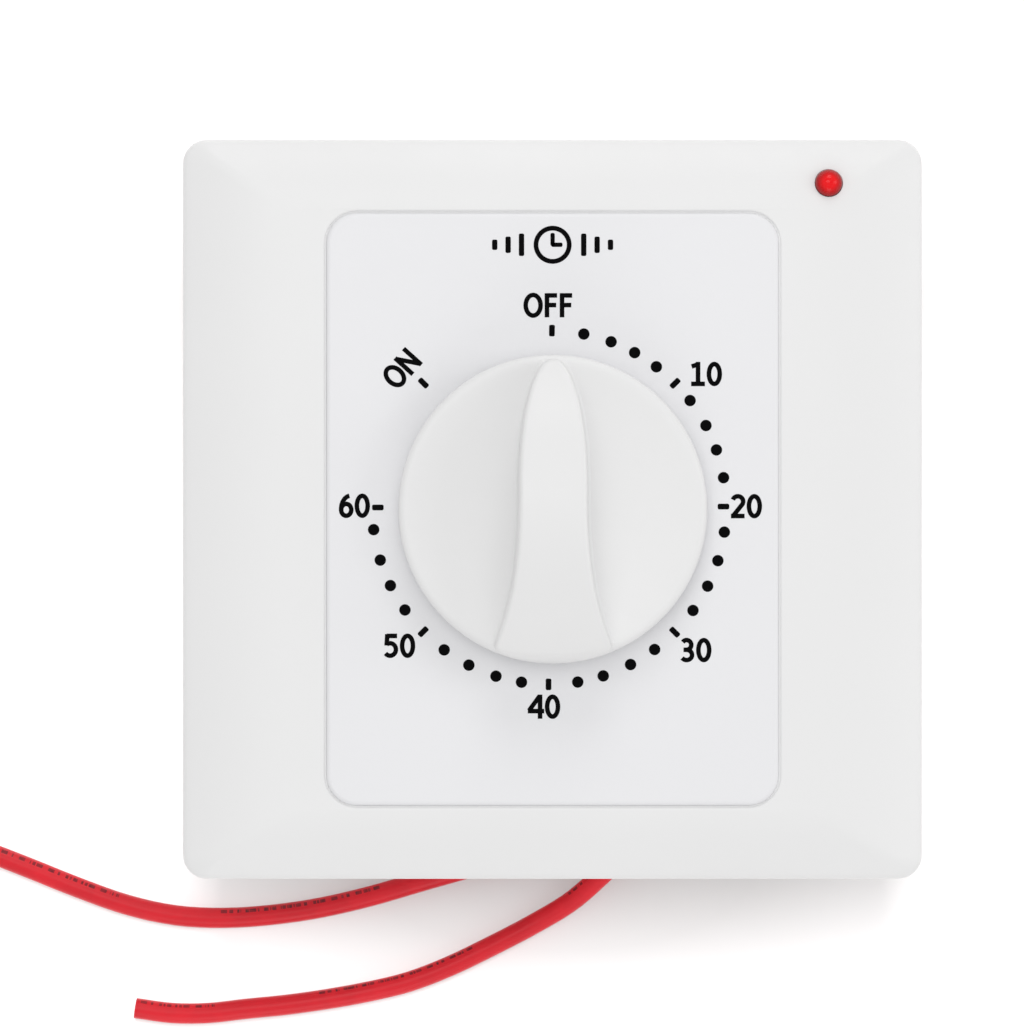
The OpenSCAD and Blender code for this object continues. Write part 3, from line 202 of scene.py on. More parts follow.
class SwitchSizes(bpy.types.PropertyGroup):
    """Sizes of the dressed pieces."""

    corner_r: size("Plate corner", "Corner radius of the plate, seen from the front", 2.8 * MM)
    edge_r: size("Plate edge", "Radius of the plate's outer edge", 0.9 * MM)
    mitre_r: size("Mitre", "Radius of the mitres where the border's slopes meet", 1.0 * MM)
    border_rise: size("Border rise", "Rise of the border's slopes", 2.4 * MM)
    side_slope: size("Side slope", "Width of the slope at the left and right", 12.4 * MM)
    top_slope: size("Top slope", "Width of the slope at the top and bottom", 8.2 * MM)
    seam: size("Seam", "Gap between the panel and the border", 0.2 * MM)
    panel_r: size("Panel corner", "Corner radius of the dial panel", 3.5 * MM)
    panel_edge: size("Panel edge", "Radius of the panel's front edge", 0.55 * MM)
    ring_r: size("Minute ring", "Radius of the ring of minute dots", 20.47 * MM)
    dot_d: size("Minute dot", "Diameter of a minute dot", 1.33 * MM)
    tick_l: size("Tick length", "Length of a ten minute tick", 1.34 * MM)
    tick_w: size("Tick width", "Width of a ten minute tick", 0.66 * MM)
    ink_t: size("Ink", "Height of the printed ink", 0.02 * MM)
    digit_h: size("Marks", "Height of the dial's digits and words", 2.79 * MM)
    pen: size("Pen", "Width of the strokes of digits and words", 0.52 * MM)
    rim_h: size("Knob foot", "Height of the knob's round foot", 4.2 * MM)
    rim_r: size("Knob edge", "Radius of the knob's upper edge", 0.8 * MM)
    dish: size("Knob hollow", "Depth of the hollow in the knob's foot", 1.0 * MM)
    crest_r: size("Crest", "Radius of the grip's arched crest", 28 * MM)
    tip_inset: size("Grip tip", "How far the grip's tip stays inside the knob's edge", 0.5 * MM)
    grip_waist: size("Grip waist", "How far above the axis the pointer begins to taper", 3.1 * MM)
    grip_mid: size("Grip middle", "Half width of the grip at its middle", 4.0 * MM)
    grip_foot: size("Grip foot", "Half width of the grip at its foot end", 7.8 * MM)
    grip_edge: size("Grip edge", "Radius of the grip's upper edges", 0.45 * MM)
    grip_heel: size("Grip heel", "Radius of the upper edge at the grip's foot end", 1.2 * MM)
    grip_root: size("Grip root", "Radius of the fillet at the grip's root", 0.55 * MM)
    lead_d: size("Lead", "Diameter of a lead", 2.5 * MM)
    box_edge: size("Rear edges", "Width of the softened edges on the rear pieces", 0.3 * MM)


class SwitchColours(bpy.types.PropertyGroup):
    """Colours of the dressed pieces."""

    plate: colour("Plate", "Border shell", 236, 236, 236)
    panel: colour("Panel", "Dial panel", 236, 236, 238)
    knob: colour("Knob", "Knob", 234, 234, 234)
    base: colour("Base", "Rear box and mounting plate", 226, 226, 224)
    ink: colour("Ink", "Printed dial", 5, 5, 6)
    lead: colour("Lead", "Insulation of the leads", 231, 38, 51)
    lens: colour("Lens", "Indicator lens", 232, 14, 22)
    steel: colour("Steel", "Screws", 190, 192, 195)
    sheet: colour("Sheet steel", "Movement plates", 178, 180, 182)
    spring: colour("Spring steel", "Springs and clips", 120, 124, 130)
    brass: colour("Brass", "Wheels, pinions and pillars", 201, 164, 88)
    bronze: colour("Bronze", "Contact strips", 196, 136, 78)
    cam: colour("Cam", "Switch cam", 38, 38, 40)
    insulator: colour("Insulator", "Contact base", 84, 52, 36)
    rubber: colour("Rubber", "Grommets", 44, 44, 46)
    resistor: colour("Resistor", "Body of the resistor", 201, 177, 138)


# Nodes

def wired(tree, kind, *links, **settings):
    """Adds a node, links its inputs or gives them values, and returns its outputs."""
    made = tree.nodes.new(kind)
    for key, value in settings.items():
        setattr(made, key, value)
    for socket, source in links:
        if isinstance(source, bpy.types.NodeSocket):
            tree.links.new(source, made.inputs[socket])
        else:
            made.inputs[socket].default_value = source
    return made.outputs


def worked(tree, operation, first, second=0.0):
    """The result of a sum on one or two values."""
    return wired(tree, "ShaderNodeMath", (0, first), (1, second), operation=operation)["Value"]


def length_of(tree, vector):
    """The length of a vector."""
    return wired(tree, "ShaderNodeVectorMath", (0, vector), operation="LENGTH")["Value"]


def ramp(tree, value, start, end, low, high):
    """Goes from low to high while the value goes from start to end."""
    return wired(
        tree, "ShaderNodeMapRange", ("Value", value), ("From Min", start), ("From Max", end),
        ("To Min", low), ("To Max", high),
    )["Result"]


def shade(rgb, factor):
    """The colour made darker or lighter."""
    return (*[min(max(v * factor, 0), 1) for v in rgb], 1)


class Graph:
    """The node graph of one finish, around its Principled shader."""

    def __init__(self, name):
        self.material = bpy.data.materials.new(LOOK + name)
        self.material.use_nodes = True
        self.tree = self.material.node_tree
        self.shader = self.tree.nodes["Principled BSDF"]
        self.coords = self.node("ShaderNodeTexCoord")["Object"]

    def node(self, kind, *links, **settings):
        return wired(self.tree, kind, *links, **settings)

    def set(self, **values):
        for name, value in values.items():
            self.shader.inputs[name.replace("_", " ")].default_value = value

    def link(self, source, name):
        self.tree.links.new(source, self.shader.inputs[name])

    def noise(self, scale, detail=3, vector=None):
        return self.node(
            "ShaderNodeTexNoise", ("Vector", vector or self.coords), ("Scale", scale), ("Detail", detail)
        )["Fac"]

    def span(self, noise, low, high):
        return ramp(self.tree, noise, *NOISE_SPAN, low, high)

    def math(self, operation, first, second=0.0):
        return worked(self.tree, operation, first, second)

    def mix(self, share, first, second):
        return self.node(
            "ShaderNodeMix", (MIX_SHARE, share), (MIX_FIRST, first), (MIX_SECOND, second), data_type="RGBA"
        )[MIX_RESULT]

    def tones(self, noise, rgb, low, high):
        """The colour, made darker and lighter by a noise."""
        return self.mix(self.span(noise, 0, 1), shade(rgb, low), shade(rgb, high))

    def gloss(self, noise, low, high):
        """Gives the surface a roughness that varies with a noise."""
        self.link(self.span(noise, low, high), "Roughness")

    def bump(self, height, depth):
        self.link(self.node("ShaderNodeBump", ("Height", height), ("Distance", depth))["Normal"], "Normal")


# Finishes

def moulded(name, rgb, rough, grain=2400, depth=0.004 * MM, spread=0.006):
    """Moulded plastic or rubber: faint clouding, uneven gloss and a fine eroded grain."""
    g = Graph(name)
    g.link(g.tones(g.noise(scale=40, detail=1), rgb, 1 - spread, 1 + spread), "Base Color")
    g.gloss(g.noise(scale=300), rough - 0.03, rough + 0.03)
    g.bump(g.noise(grain, detail=2), depth)
    g.set(IOR=1.47)


def metal(name, rgb, rough, lay=(1, 1, 1)):
    """Worked metal: a drawn or brushed lay, with tone and gloss that vary along it."""
    g = Graph(name)
    stretched = g.node("ShaderNodeMapping", ("Vector", g.coords), ("Scale", lay))["Vector"]
    streak = g.noise(scale=900, detail=4, vector=stretched)
    cloud = g.noise(scale=160)
    tone = g.math("ADD", g.math("MULTIPLY", streak, 0.6), g.math("MULTIPLY", cloud, 0.4))
    g.link(g.tones(tone, rgb, 0.94, 1.06), "Base Color")
    g.gloss(streak, rough - 0.07, rough + 0.08)
    g.bump(streak, depth=0.006 * MM)
    g.set(Metallic=1.0)


def printed_lead(name, rgb):
    """Extruded insulation with a broken row of printed dashes along one side."""
    dashes_per_metre, groups_per_metre, group_share, row_edge = 1300.0, 30.0, 0.62, 0.972
    g = Graph(name)
    along = g.node("ShaderNodeAttribute", attribute_name="along")["Fac"]
    facing = g.node("ShaderNodeAttribute", attribute_name="facing")["Fac"]
    cloud = g.noise(scale=220)
    breaks = g.node(
        "ShaderNodeTexNoise", ("W", g.math("MULTIPLY", along, dashes_per_metre)),
        ("Scale", 1.0), ("Detail", 1.0), noise_dimensions="1D",
    )["Fac"]
    dash = g.math("GREATER_THAN", breaks, 0.5)
    group = g.math("LESS_THAN", g.math("FRACT", g.math("MULTIPLY", along, groups_per_metre)), group_share)
    row = g.math("GREATER_THAN", facing, row_edge)
    ink = g.math("MULTIPLY", g.math("MULTIPLY", dash, group), row)
    worn = g.math("MULTIPLY", ink, g.span(g.noise(scale=1500), 0.5, 0.9))
    g.link(g.mix(worn, g.tones(cloud, rgb, 0.9, 1.06), LEAD_PRINT), "Base Color")
    g.gloss(cloud, 0.3, 0.42)
    g.bump(g.noise(scale=1800, detail=2), depth=0.006 * MM)
    g.set(IOR=1.5, Specular_IOR_Level=0.25)


def lens_finish(name, rgb):
    """Red lens resin with painted light and shade: lighter in the middle, darker towards the rim, with a
    fine mould texture.
    """
    lit_middle_r, shaded_rim_r = 0.7 * MM, 1.55 * MM
    g = Graph(name)
    lo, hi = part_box("led")
    to_axis = (FLANGE_R - hi.x, -(lo.y + hi.y) / 2, 0)
    centred = g.node("ShaderNodeVectorMath", (0, g.coords), (1, to_axis), operation="ADD")["Vector"]
    flat = g.node("ShaderNodeVectorMath", (0, centred), (1, (1, 1, 0)), operation="MULTIPLY")["Vector"]
    # Painted shade: the colour darkens from a painted lighter middle towards the rim of the dome
    rim = ramp(g.tree, length_of(g.tree, flat), lit_middle_r, shaded_rim_r, 0, 1)
    g.link(g.mix(rim, shade(rgb, 1.08), shade(rgb, 0.36)), "Base Color")
    g.gloss(g.noise(scale=500), 0.11, 0.17)
    g.bump(g.noise(scale=1600, detail=2), depth=0.004 * MM)
    g.set(IOR=1.5, Specular_IOR_Level=0.2)


def banded_resistor(name, rgb):
    """A lacquered resistor body with four colour bands across it."""
    g = Graph(name)
    lo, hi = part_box("led_resistor")
    x = g.node("ShaderNodeSeparateXYZ", ("Vector", g.coords))["X"]
    tone = g.tones(g.noise(scale=700), rgb, 0.92, 1.06)
    for share, band in BANDS:
        place = lo.x + (hi.x - lo.x) * share
        near = g.math("LESS_THAN", g.math("ABSOLUTE", g.math("SUBTRACT", x, place)), BAND_HALF)
        tone = g.mix(near, tone, band)
    g.link(tone, "Base Color")
    g.gloss(g.noise(scale=400), 0.25, 0.4)
    g.bump(g.noise(scale=1500, detail=2), depth=0.01 * MM)


def ink_finish(name, rgb):
    """Screen printed ink: dense black with a slightly broken, matt film."""
    g = Graph(name)
    g.link(g.tones(g.noise(scale=1800), rgb, 0.7, 1.5), "Base Color")
    g.gloss(g.noise(scale=900), 0.5, 0.65)
    g.bump(g.noise(scale=4000, detail=2), depth=0.002 * MM)
    g.set(Specular_IOR_Level=0.03)


def finish_named(name):
    """The finish of that name; the whole set is made on first use."""
    if LOOK + "plate_white" not in bpy.data.materials:
        make_finishes(bpy.context.scene.switch_colours)
    return bpy.data.materials[LOOK + name]


def make_finishes(c):
    """Makes the finish for each of the record's material slots, the ink and the copper."""
    moulded("plate_white", c.plate, rough=0.42)
    moulded("panel_white", c.panel, rough=0.46, grain=3200, depth=0.005 * MM)
    moulded("knob_white", c.knob, rough=0.42, grain=2600)
    moulded("base_white", c.base, rough=0.45, grain=1600, depth=0.01 * MM, spread=0.02)
    metal("screw_steel", c.steel, rough=0.3, lay=(1, 1, 6))
    metal("plate_steel", c.sheet, rough=0.34, lay=(1, 18, 1))
    metal("spring_steel", c.spring, rough=0.26, lay=(1, 1, 14))
    metal("clock_brass", c.brass, rough=0.28, lay=(1, 14, 1))
    metal("contact_bronze", c.bronze, rough=0.3, lay=(14, 1, 1))
    moulded("cam_black", c.cam, rough=0.4, grain=1800, depth=0.01 * MM, spread=0.12)
    moulded("insulator_brown", c.insulator, rough=0.35, grain=900, depth=0.01 * MM, spread=0.15)
    moulded("sleeve_black", c.cam, rough=0.5, grain=1500, depth=0.008 * MM, spread=0.12)
    moulded("grommet_rubber", c.rubber, rough=0.62, grain=1400, depth=0.015 * MM, spread=0.12)
    printed_lead("lead_red", c.lead)
    moulded("lead_plain", c.lead, rough=0.36, grain=1800, spread=0.06)
    lens_finish("lens_red", c.lens)
    banded_resistor("resistor_tan", c.resistor)
    metal("copper_core", COPPER, rough=0.35)
    ink_finish("dial_ink", c.ink)


# Modelling

def mesh_of(bm, name):
    """Turns the bmesh into a mesh."""
    mesh = bpy.data.meshes.new(name)
    bm.to_mesh(mesh)
    bm.free()
    return mesh


def add(name, data):
    """Puts a new object in the scene."""
    made = bpy.data.objects.new(name, data)
    bpy.context.scene.collection.objects.link(made)
    return made


def keep(bm, name, body, finish, replaces=(), sharp=35, weighted=True):
    """Turns the bmesh into a smooth shaded piece that rides on a body."""
    bmesh.ops.remove_doubles(bm, verts=bm.verts, dist=MERGE)
    bmesh.ops.recalc_face_normals(bm, faces=bm.faces)
    mesh = mesh_of(bm, name)
    mesh.polygons.foreach_set("use_smooth", [True] * len(mesh.polygons))
    mesh.set_sharp_from_angle(angle=math.radians(sharp))
    mesh.materials.append(finish_named(finish))
    piece = add(name, mesh)
    if weighted:
        even = piece.modifiers.new("Even shading", "WEIGHTED_NORMAL")
        even.keep_sharp = True
        even.weight = 100
    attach(piece, body)
    if replaces:
        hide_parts(*replaces)
    return piece


def box_loop(bm, w, h, r, z, steps=8):
    """The edges of one round-cornered rectangle, level at z."""
    verts = bmesh.ops.create_grid(bm, x_segments=1, y_segments=1, size=0.5)["verts"]
    shape = Matrix.Translation((0, 0, z)) @ Matrix.Diagonal((w, h, 1, 1))
    bmesh.ops.transform(bm, matrix=shape, verts=verts)
    made = bmesh.ops.bevel(
        bm, geom=verts, offset=r, offset_type="OFFSET", segments=steps, profile=0.5,
        affect="VERTICES", material=-1, clamp_overlap=False,
    )
    face = next(f for v in made["verts"] for f in v.link_faces)
    edges = list(face.edges)
    bmesh.ops.delete(bm, geom=[face], context="FACES_ONLY")
    return edges


def ring_loop(bm, points):
    """The edges of one closed loop: a circle whose points move onto the given ones."""
    verts = bmesh.ops.create_circle(bm, cap_ends=False, radius=1.0, segments=len(points))["verts"]
    for vert, point in zip(verts, points):
        vert.co = point
    return list({edge for vert in verts for edge in vert.link_edges})


def skin(bm, loops, closed=False, apart=(0, 0, 0), capped=2):
    """Bridges each loop to the next, drawn apart while they are matched, then caps the ends."""
    pairs = list(zip(loops, loops[1:]))
    if closed:
        pairs.append((loops[-1], loops[0]))
    for first, second in pairs:
        verts = list({v for e in second for v in e.verts})
        bmesh.ops.translate(bm, vec=apart, verts=verts)
        bmesh.ops.bridge_loops(bm, edges=first + second)
        bmesh.ops.translate(bm, vec=-Vector(apart), verts=verts)
    if not closed:
        for loop in (loops[0], loops[-1])[:capped]:
            bmesh.ops.contextual_create(bm, geom=loop)


def turned(bm, profile, steps, centre=(0, 0)):
    """Spins a profile of (radius, height) points round an upright axis."""
    verts = [bm.verts.new((centre[0] + r, centre[1], z)) for r, z in profile]
    edges = [bm.edges.new(pair) for pair in zip(verts, verts[1:])]
    bmesh.ops.spin(
        bm, geom=verts + edges, cent=(*centre, 0), axis=(0, 0, 1), angle=2 * math.pi, steps=steps,
        use_merge=True,
    )


def arc(cx, cy, r, start, end, steps):
    """Points on an arc, angles in degrees, both ends included."""
    return [
        (cx + r * math.cos(math.radians(a)), cy + r * math.sin(math.radians(a)))
        for a in (start + (end - start) * i / steps for i in range(steps + 1))
    ]


def bow(x, y, across, up, start, end, steps=16):
    """Points on an oval arc, angles in degrees."""
    return [(x + across * u, y + up * v) for u, v in arc(0, 0, 1, start, end, steps)]


def spaced(points, steps):
    """The same line as evenly spaced points."""
    lengths = [0.0]
    for a, b in zip(points, points[1:]):
        lengths.append(lengths[-1] + (b - a).length)
    line, k = [], 0
    for i in range(steps + 1):
        want = lengths[-1] * i / steps
        while k < len(points) - 2 and lengths[k + 1] < want:
            k += 1
        share = (want - lengths[k]) / (lengths[k + 1] - lengths[k])
        line.append(points[k].lerp(points[k + 1], min(share, 1)))
    return line


def smooth_path(points, steps):
    """A smooth line through the points, as one list of closely spaced points in metres."""
    p = [Vector(q) * MM for q in points]
    p = [2 * p[0] - p[1], *p, 2 * p[-1] - p[-2]]
    line = []
    for a, b, c, d in zip(p, p[1:], p[2:], p[3:]):
        for i in range(steps):
            t = i / steps
            line.append(0.5 * (
                2 * b + (c - a) * t + (2 * a - 5 * b + 4 * c - d) * t * t + (3 * b - a - 3 * c + d) * t ** 3
            ))
    return [*line, p[-2]]


def lamp_centre(z):
    """The lamp's axis at a height, from the box of its holder."""
    lo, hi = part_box("led_holder")
    radius = (hi.y - lo.y) / 2
    return Vector((hi.x - radius, (lo.y + hi.y) / 2, z))


# The marks' characters: pen strokes in millimetres about the middle, at this height
TYPE_H = 2.72 * MM
TYPE = {
    "0": (bow(0, 0, 0.61, 1.12, 0, 360, 36),),
    "1": (((0, -1.36), (0, 1.36)), ((-0.78, -1.12), (0.78, -1.12)), ((-0.72, 0.84), (0.16, 1.14))),
    "2": (bow(-0.02, 0.53, 0.6, 0.59, 160, -32) + [(-0.56, -1.1)], ((-0.8, -1.11), (0.74, -1.11))),
    "3": (
        bow(-0.1, 0.58, 0.53, 0.55, 145, -88), bow(-0.1, -0.55, 0.62, 0.58, 88, -145),
        ((-0.45, 0.03), (0, 0.03)),
    ),
    "4": (((0.43, -1.36), (0.43, 1.36)), ((-0.95, -0.5), (0.9, -0.5)), ((-0.82, -0.45), (0.38, 1.2))),
    "5": (
        ((-0.5, 1.11), (0.66, 1.11)), ((-0.44, 1.3), (-0.52, 0.02)),
        bow(-0.13, -0.42, 0.66, 0.71, 124, -142),
    ),
    "6": (bow(0.03, -0.46, 0.57, 0.67, 0, 360, 32), bow(0.52, -0.4, 1.06, 1.53, 178, 97)),
    "F": (((-0.46, -1.36), (-0.46, 1.36)), ((-0.46, 1.11), (0.68, 1.11)), ((-0.46, 0.02), (0.58, 0.02))),
    "N": (((-0.72, -1.36), (-0.72, 1.36)), ((0.72, -1.36), (0.72, 1.36)), ((-0.72, 1.2), (0.72, -1.2))),
    "O": (bow(0, 0, 0.84, 1.16, 0, 360, 40),),
}


# Operators

class SWITCH_OT_stage(bpy.types.Operator):
    """Sets the camera over the plate, the pale floor and the soft lights"""

    bl_idname = "switch.stage"
    bl_label = "Stage"

    def execute(self, context):
        scene = context.scene
        scene.view_settings.view_transform = "Standard"
        data = bpy.data.cameras.new("photo_camera")
        data.sensor_fit = "AUTO"
        data.sensor_width = SENSOR
        data.lens = SENSOR * VIEW_DISTANCE / (max(PHOTO_W, PHOTO_H) / PIXELS_PER_MM * MM)
        camera = add("photo_camera", data)
        camera.location = (*VIEW_CENTRE, VIEW_LEVEL + VIEW_DISTANCE)
        scene.camera = camera
        floor = self.floor()
        self.sky(scene)
        for row in LAMPS:
            self.lamp(*row)
        floor_lamp = self.lamp(*FLOOR_LAMP)
        only = bpy.data.collections.new("floor_only")
        only.objects.link(floor)
        floor_lamp.light_linking.receiver_collection = only
        return {"FINISHED"}

    def lamp(self, name, place, side, power, length=None):
        data = bpy.data.lights.new(name, "AREA")
        data.shape = "RECTANGLE"
        data.size = side
        data.size_y = length or side
        data.energy = power
        lamp = add(name, data)
        lamp.location = place
        lamp.rotation_euler = (-Vector(place)).to_track_quat("-Z", "Y").to_euler()
        return lamp

    def seen(self, tree):
        """1 for rays that come from the camera, a reflection or through glass."""
        path = wired(tree, "ShaderNodeLightPath")
        level = path["Is Camera Ray"]
        for ray in ("Is Glossy Ray", "Is Transmission Ray"):
            level = worked(tree, "MAXIMUM", level, path[ray])
        return level

    def floor(self):
        bm = bmesh.new()
        bmesh.ops.create_grid(bm, x_segments=1, y_segments=1, size=FLOOR_HALF)
        floor = add("floor", mesh_of(bm, "floor"))
        material = bpy.data.materials.new("pale_floor")
        material.use_nodes = True
        tree = material.node_tree
        tree.nodes.clear()
        matt = wired(tree, "ShaderNodeBsdfDiffuse", ("Color", FLOOR_COLOUR))["BSDF"]
        # The floor's glow: an even backdrop lift far away, plus painted light round the ends of the plate's
        # shadow
        lift = worked(tree, "MULTIPLY", self.seen(tree), self.floor_lift(tree))
        glow = wired(tree, "ShaderNodeEmission", ("Strength", lift))["Emission"]
        both = wired(tree, "ShaderNodeAddShader", (0, matt), (1, glow))["Shader"]
        wired(tree, "ShaderNodeOutputMaterial", ("Surface", both))
        floor.data.materials.append(material)
        return floor

    def floor_lift(self, tree):
        """How much lighter the floor shows: more far away, and with painted light round the ends of the
        plate's shadow.
        """
        at = wired(tree, "ShaderNodeTexCoord")["Object"]
        oval = wired(
            tree, "ShaderNodeMapping", ("Vector", at), ("Location", SHADE_CENTRE), ("Scale", SHADE_REACH),
            vector_type="TEXTURE",
        )["Vector"]
        away = length_of(tree, oval)
        grown = ramp(tree, away, *SHADE_GROWS, 0, SHADOW_END_PAINTED_LIGHT)
        # Painted light: extra glow that lightens the floor round the ends of the plate's shadow
        ends = worked(tree, "MULTIPLY", grown, ramp(tree, away, *SHADE_FADES, 1, 0))
        return worked(tree, "ADD", ramp(tree, length_of(tree, at), *FLOOR_LIFT), ends)

    def sky(self, scene):
        world = bpy.data.worlds.new("studio")
        scene.world = world
        world.use_nodes = True
        tree = world.node_tree
        sky = tree.nodes["Background"]
        sky.inputs["Color"].default_value = (1, 1, 1, 1)
        tree.links.new(ramp(tree, self.seen(tree), 0, 1, SKY_LEVEL, 1), sky.inputs["Strength"])


class SWITCH_OT_leads(bpy.types.Operator):
    """Lays the two red leads from their grommets to their cut ends"""

    bl_idname = "switch.leads"
    bl_label = "Leads"

    def execute(self, context):
        for node, route, length, turn in LEADS:
            self.lead(node, route, length, math.radians(turn), context.scene.switch_sizes)
        return {"FINISHED"}

    def lead(self, node, route, length, turn, s):
        path = smooth_path(route, steps=4)
        r = s.lead_d / 2
        angles = [2 * math.pi * k / LEAD_SIDES for k in range(LEAD_SIDES)]
        bm = bmesh.new()
        along = bm.verts.layers.float.new("along")
        facing = bm.verts.layers.float.new("facing")
        done, loops = 0.0, []
        for i, here in enumerate(path):
            ahead = Vector((0, -1, 0))
            if i:
                done += (here - path[i - 1]).length
                ahead = path[min(i + 1, len(path) - 1)] - path[i - 1]
            ahead.normalize()
            side = ahead.cross(Vector((0, 0, 1))).normalized()
            up = side.cross(ahead)
            ring = [here + r * (math.cos(a) * up + math.sin(a) * side) for a in angles]
            loops.append(ring_loop(bm, ring))
            for v in {v for e in loops[-1] for v in e.verts}:
                out = (v.co - here) / r
                v[along] = done
                v[facing] = math.cos(turn) * out.dot(up) + math.sin(turn) * out.dot(side)
        skin(bm, loops)
        piece = keep(bm, node + "_insulation", "case", "lead_red", replaces=[node], weighted=False)
        strands = self.strands(node, path)

    def strands(self, node, path):
        """The copper strands in the cut end, one in the middle and six round it."""
        ahead = (path[-1] - path[-2]).normalized()
        spin = ahead.to_track_quat("Z", "Y").to_matrix().to_4x4()
        end = Matrix.Translation(path[-1] - ahead * STRAND_SUNK) @ spin
        bm = bmesh.new()
        for x, y in [(0, 0), *arc(0, 0, STRAND_PITCH, 60, 360, steps=5)]:
            bmesh.ops.create_cone(
                bm, cap_ends=True, segments=10, radius1=STRAND_R, radius2=STRAND_R, depth=STRAND_L,
                matrix=end @ Matrix.Translation((x, y, 0)),
            )
        return keep(bm, node + "_strands", "case", "copper_core")


class SWITCH_OT_border(bpy.types.Operator):
    """Builds the border shell: convex slopes with soft mitres, a round outer edge and the window's rim"""

    bl_idname = "switch.border"
    bl_label = "Border"

    def execute(self, context):
        s = context.scene.switch_sizes
        lo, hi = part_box("outer_frame")
        side, foot, crown = hi.x - lo.x, lo.z, hi.z
        wall, soft = 2.0 * MM, 0.2 * MM
        bm = bmesh.new()
        loops = [
            box_loop(bm, side - 2 * soft, side - 2 * soft, s.corner_r - soft, foot),
            box_loop(bm, side, side, s.corner_r, foot + soft),
        ]
        for z in self.levels(crown, s):
            dx, dy = self.inset(z, s.side_slope, crown, s), self.inset(z, s.top_slope, crown, s)
            loops.append(box_loop(bm, side - 2 * dx, side - 2 * dy, max(s.corner_r - dy, s.mitre_r), z))
        loops += self.window(bm, foot, crown, soft, s)
        inner, inner_r, roof = side - 2 * wall, max(s.corner_r - wall, soft), foot + 4.4 * MM
        for out, z in ((0, roof), (0, foot + soft), (soft, foot)):
            loops.append(box_loop(bm, inner + 2 * out, inner + 2 * out, inner_r + out, z))
        skin(bm, loops, closed=True, apart=APART)
        shell = keep(bm, "border_shell", "case", "plate_white", replaces=["outer_frame"], sharp=50)
        self.drill(shell)
        return {"FINISHED"}

    def inset(self, z, run, crown, s):
        """How far in from the outer edge a slope's surface lies at height z."""
        arc_r = (run * run + s.border_rise * s.border_rise) / (2 * s.border_rise)
        floor = crown - arc_r
        turn_z = floor + math.sqrt((arc_r - s.edge_r) ** 2 - (run - s.edge_r) ** 2)
        meet_z = floor + (turn_z - floor) * arc_r / (arc_r - s.edge_r)
        if z <= turn_z:
            return 0.0
        if z <= meet_z:
            return s.edge_r - math.sqrt(max(s.edge_r ** 2 - (z - turn_z) ** 2, 0))
        return run - math.sqrt(max(arc_r ** 2 - (z - floor) ** 2, 0))

    def levels(self, crown, s):
        """Heights of the slopes' loops: evenly high where it is steep, then evenly far in."""
        steep_share, steep_steps, slope_steps = 0.52, 9, 14
        rise = s.border_rise
        low = crown - rise - s.edge_r
        heights = [low + (rise + s.edge_r) * steep_share * i / steep_steps for i in range(steep_steps + 1)]
        arc_r = (s.top_slope ** 2 + rise ** 2) / (2 * rise)
        start = self.inset(heights[-1], s.top_slope, crown, s)
        for i in range(1, slope_steps + 1):
            run = start + (s.top_slope - start) * i / slope_steps
            heights.append(crown - arc_r + math.sqrt(arc_r ** 2 - (s.top_slope - run) ** 2))
        return heights

    def window(self, bm, foot, crown, soft, s):
        """Loops of the window's rim: its soft front edge, its wall beside the panel and its outer side."""
        lo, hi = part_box("dial_panel")
        w, h, r = hi.x - lo.x + 2 * s.seam, hi.y - lo.y + 2 * s.seam, s.panel_r + s.seam
        chamfer, clear, rim = 0.06 * MM, 0.02 * MM, 1.0 * MM
        rim_foot, roof = foot + 3 * MM, foot + 5.2 * MM
        ledge = clear - s.seam
        return [
            box_loop(bm, w + 2 * out, h + 2 * out, r + out, z) for out, z in (
                (soft, crown), (chamfer, crown - chamfer), (0, crown - soft), (ledge, crown - soft - clear),
                (ledge, rim_foot), (rim, rim_foot), (rim, roof),
            )
        ]

    def drill(self, shell):
        """Cuts the lamp's hole through the shell."""
        bm = bmesh.new()
        bmesh.ops.create_cone(
            bm, cap_ends=True, segments=64, radius1=LENS_HOLE_R, radius2=LENS_HOLE_R, depth=12 * MM,
            matrix=Matrix.Translation(lamp_centre(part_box("led")[1].z)),
        )
        drill = add("drill", mesh_of(bm, "drill"))
        hole = shell.modifiers.new("Lamp hole", "BOOLEAN")
        hole.object = drill
        hole.solver = "EXACT"
        bpy.context.view_layer.update()
        graph = bpy.context.evaluated_depsgraph_get()
        cut = bpy.data.meshes.new_from_object(shell.evaluated_get(graph))
        shell.modifiers.remove(hole)
        old = shell.data
        shell.data = cut
        bpy.data.meshes.remove(old)
        bpy.data.objects.remove(drill)


class SWITCH_OT_panel(bpy.types.Operator):
    """Builds the dial panel with its round corners and soft front edge"""

    bl_idname = "switch.panel"
    bl_label = "Panel"

    def execute(self, context):
        s = context.scene.switch_sizes
        lo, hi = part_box("dial_panel")
        w, h, corner_steps = hi.x - lo.x, hi.y - lo.y, 12
        bm = bmesh.new()
        loops = [box_loop(bm, w, h, s.panel_r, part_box("mounting_plate")[1].z, corner_steps)]
        for out, up in arc(0, 0, s.panel_edge, 0, 90, steps=5):
            dent, z = s.panel_edge - out, hi.z - s.panel_edge + up
            loops.append(box_loop(bm, w - 2 * dent, h - 2 * dent, s.panel_r - dent, z, corner_steps))
        skin(bm, loops)
        keep(bm, "dial_panel_face", "case", "panel_white", replaces=["dial_panel"], sharp=60)
        return {"FINISHED"}


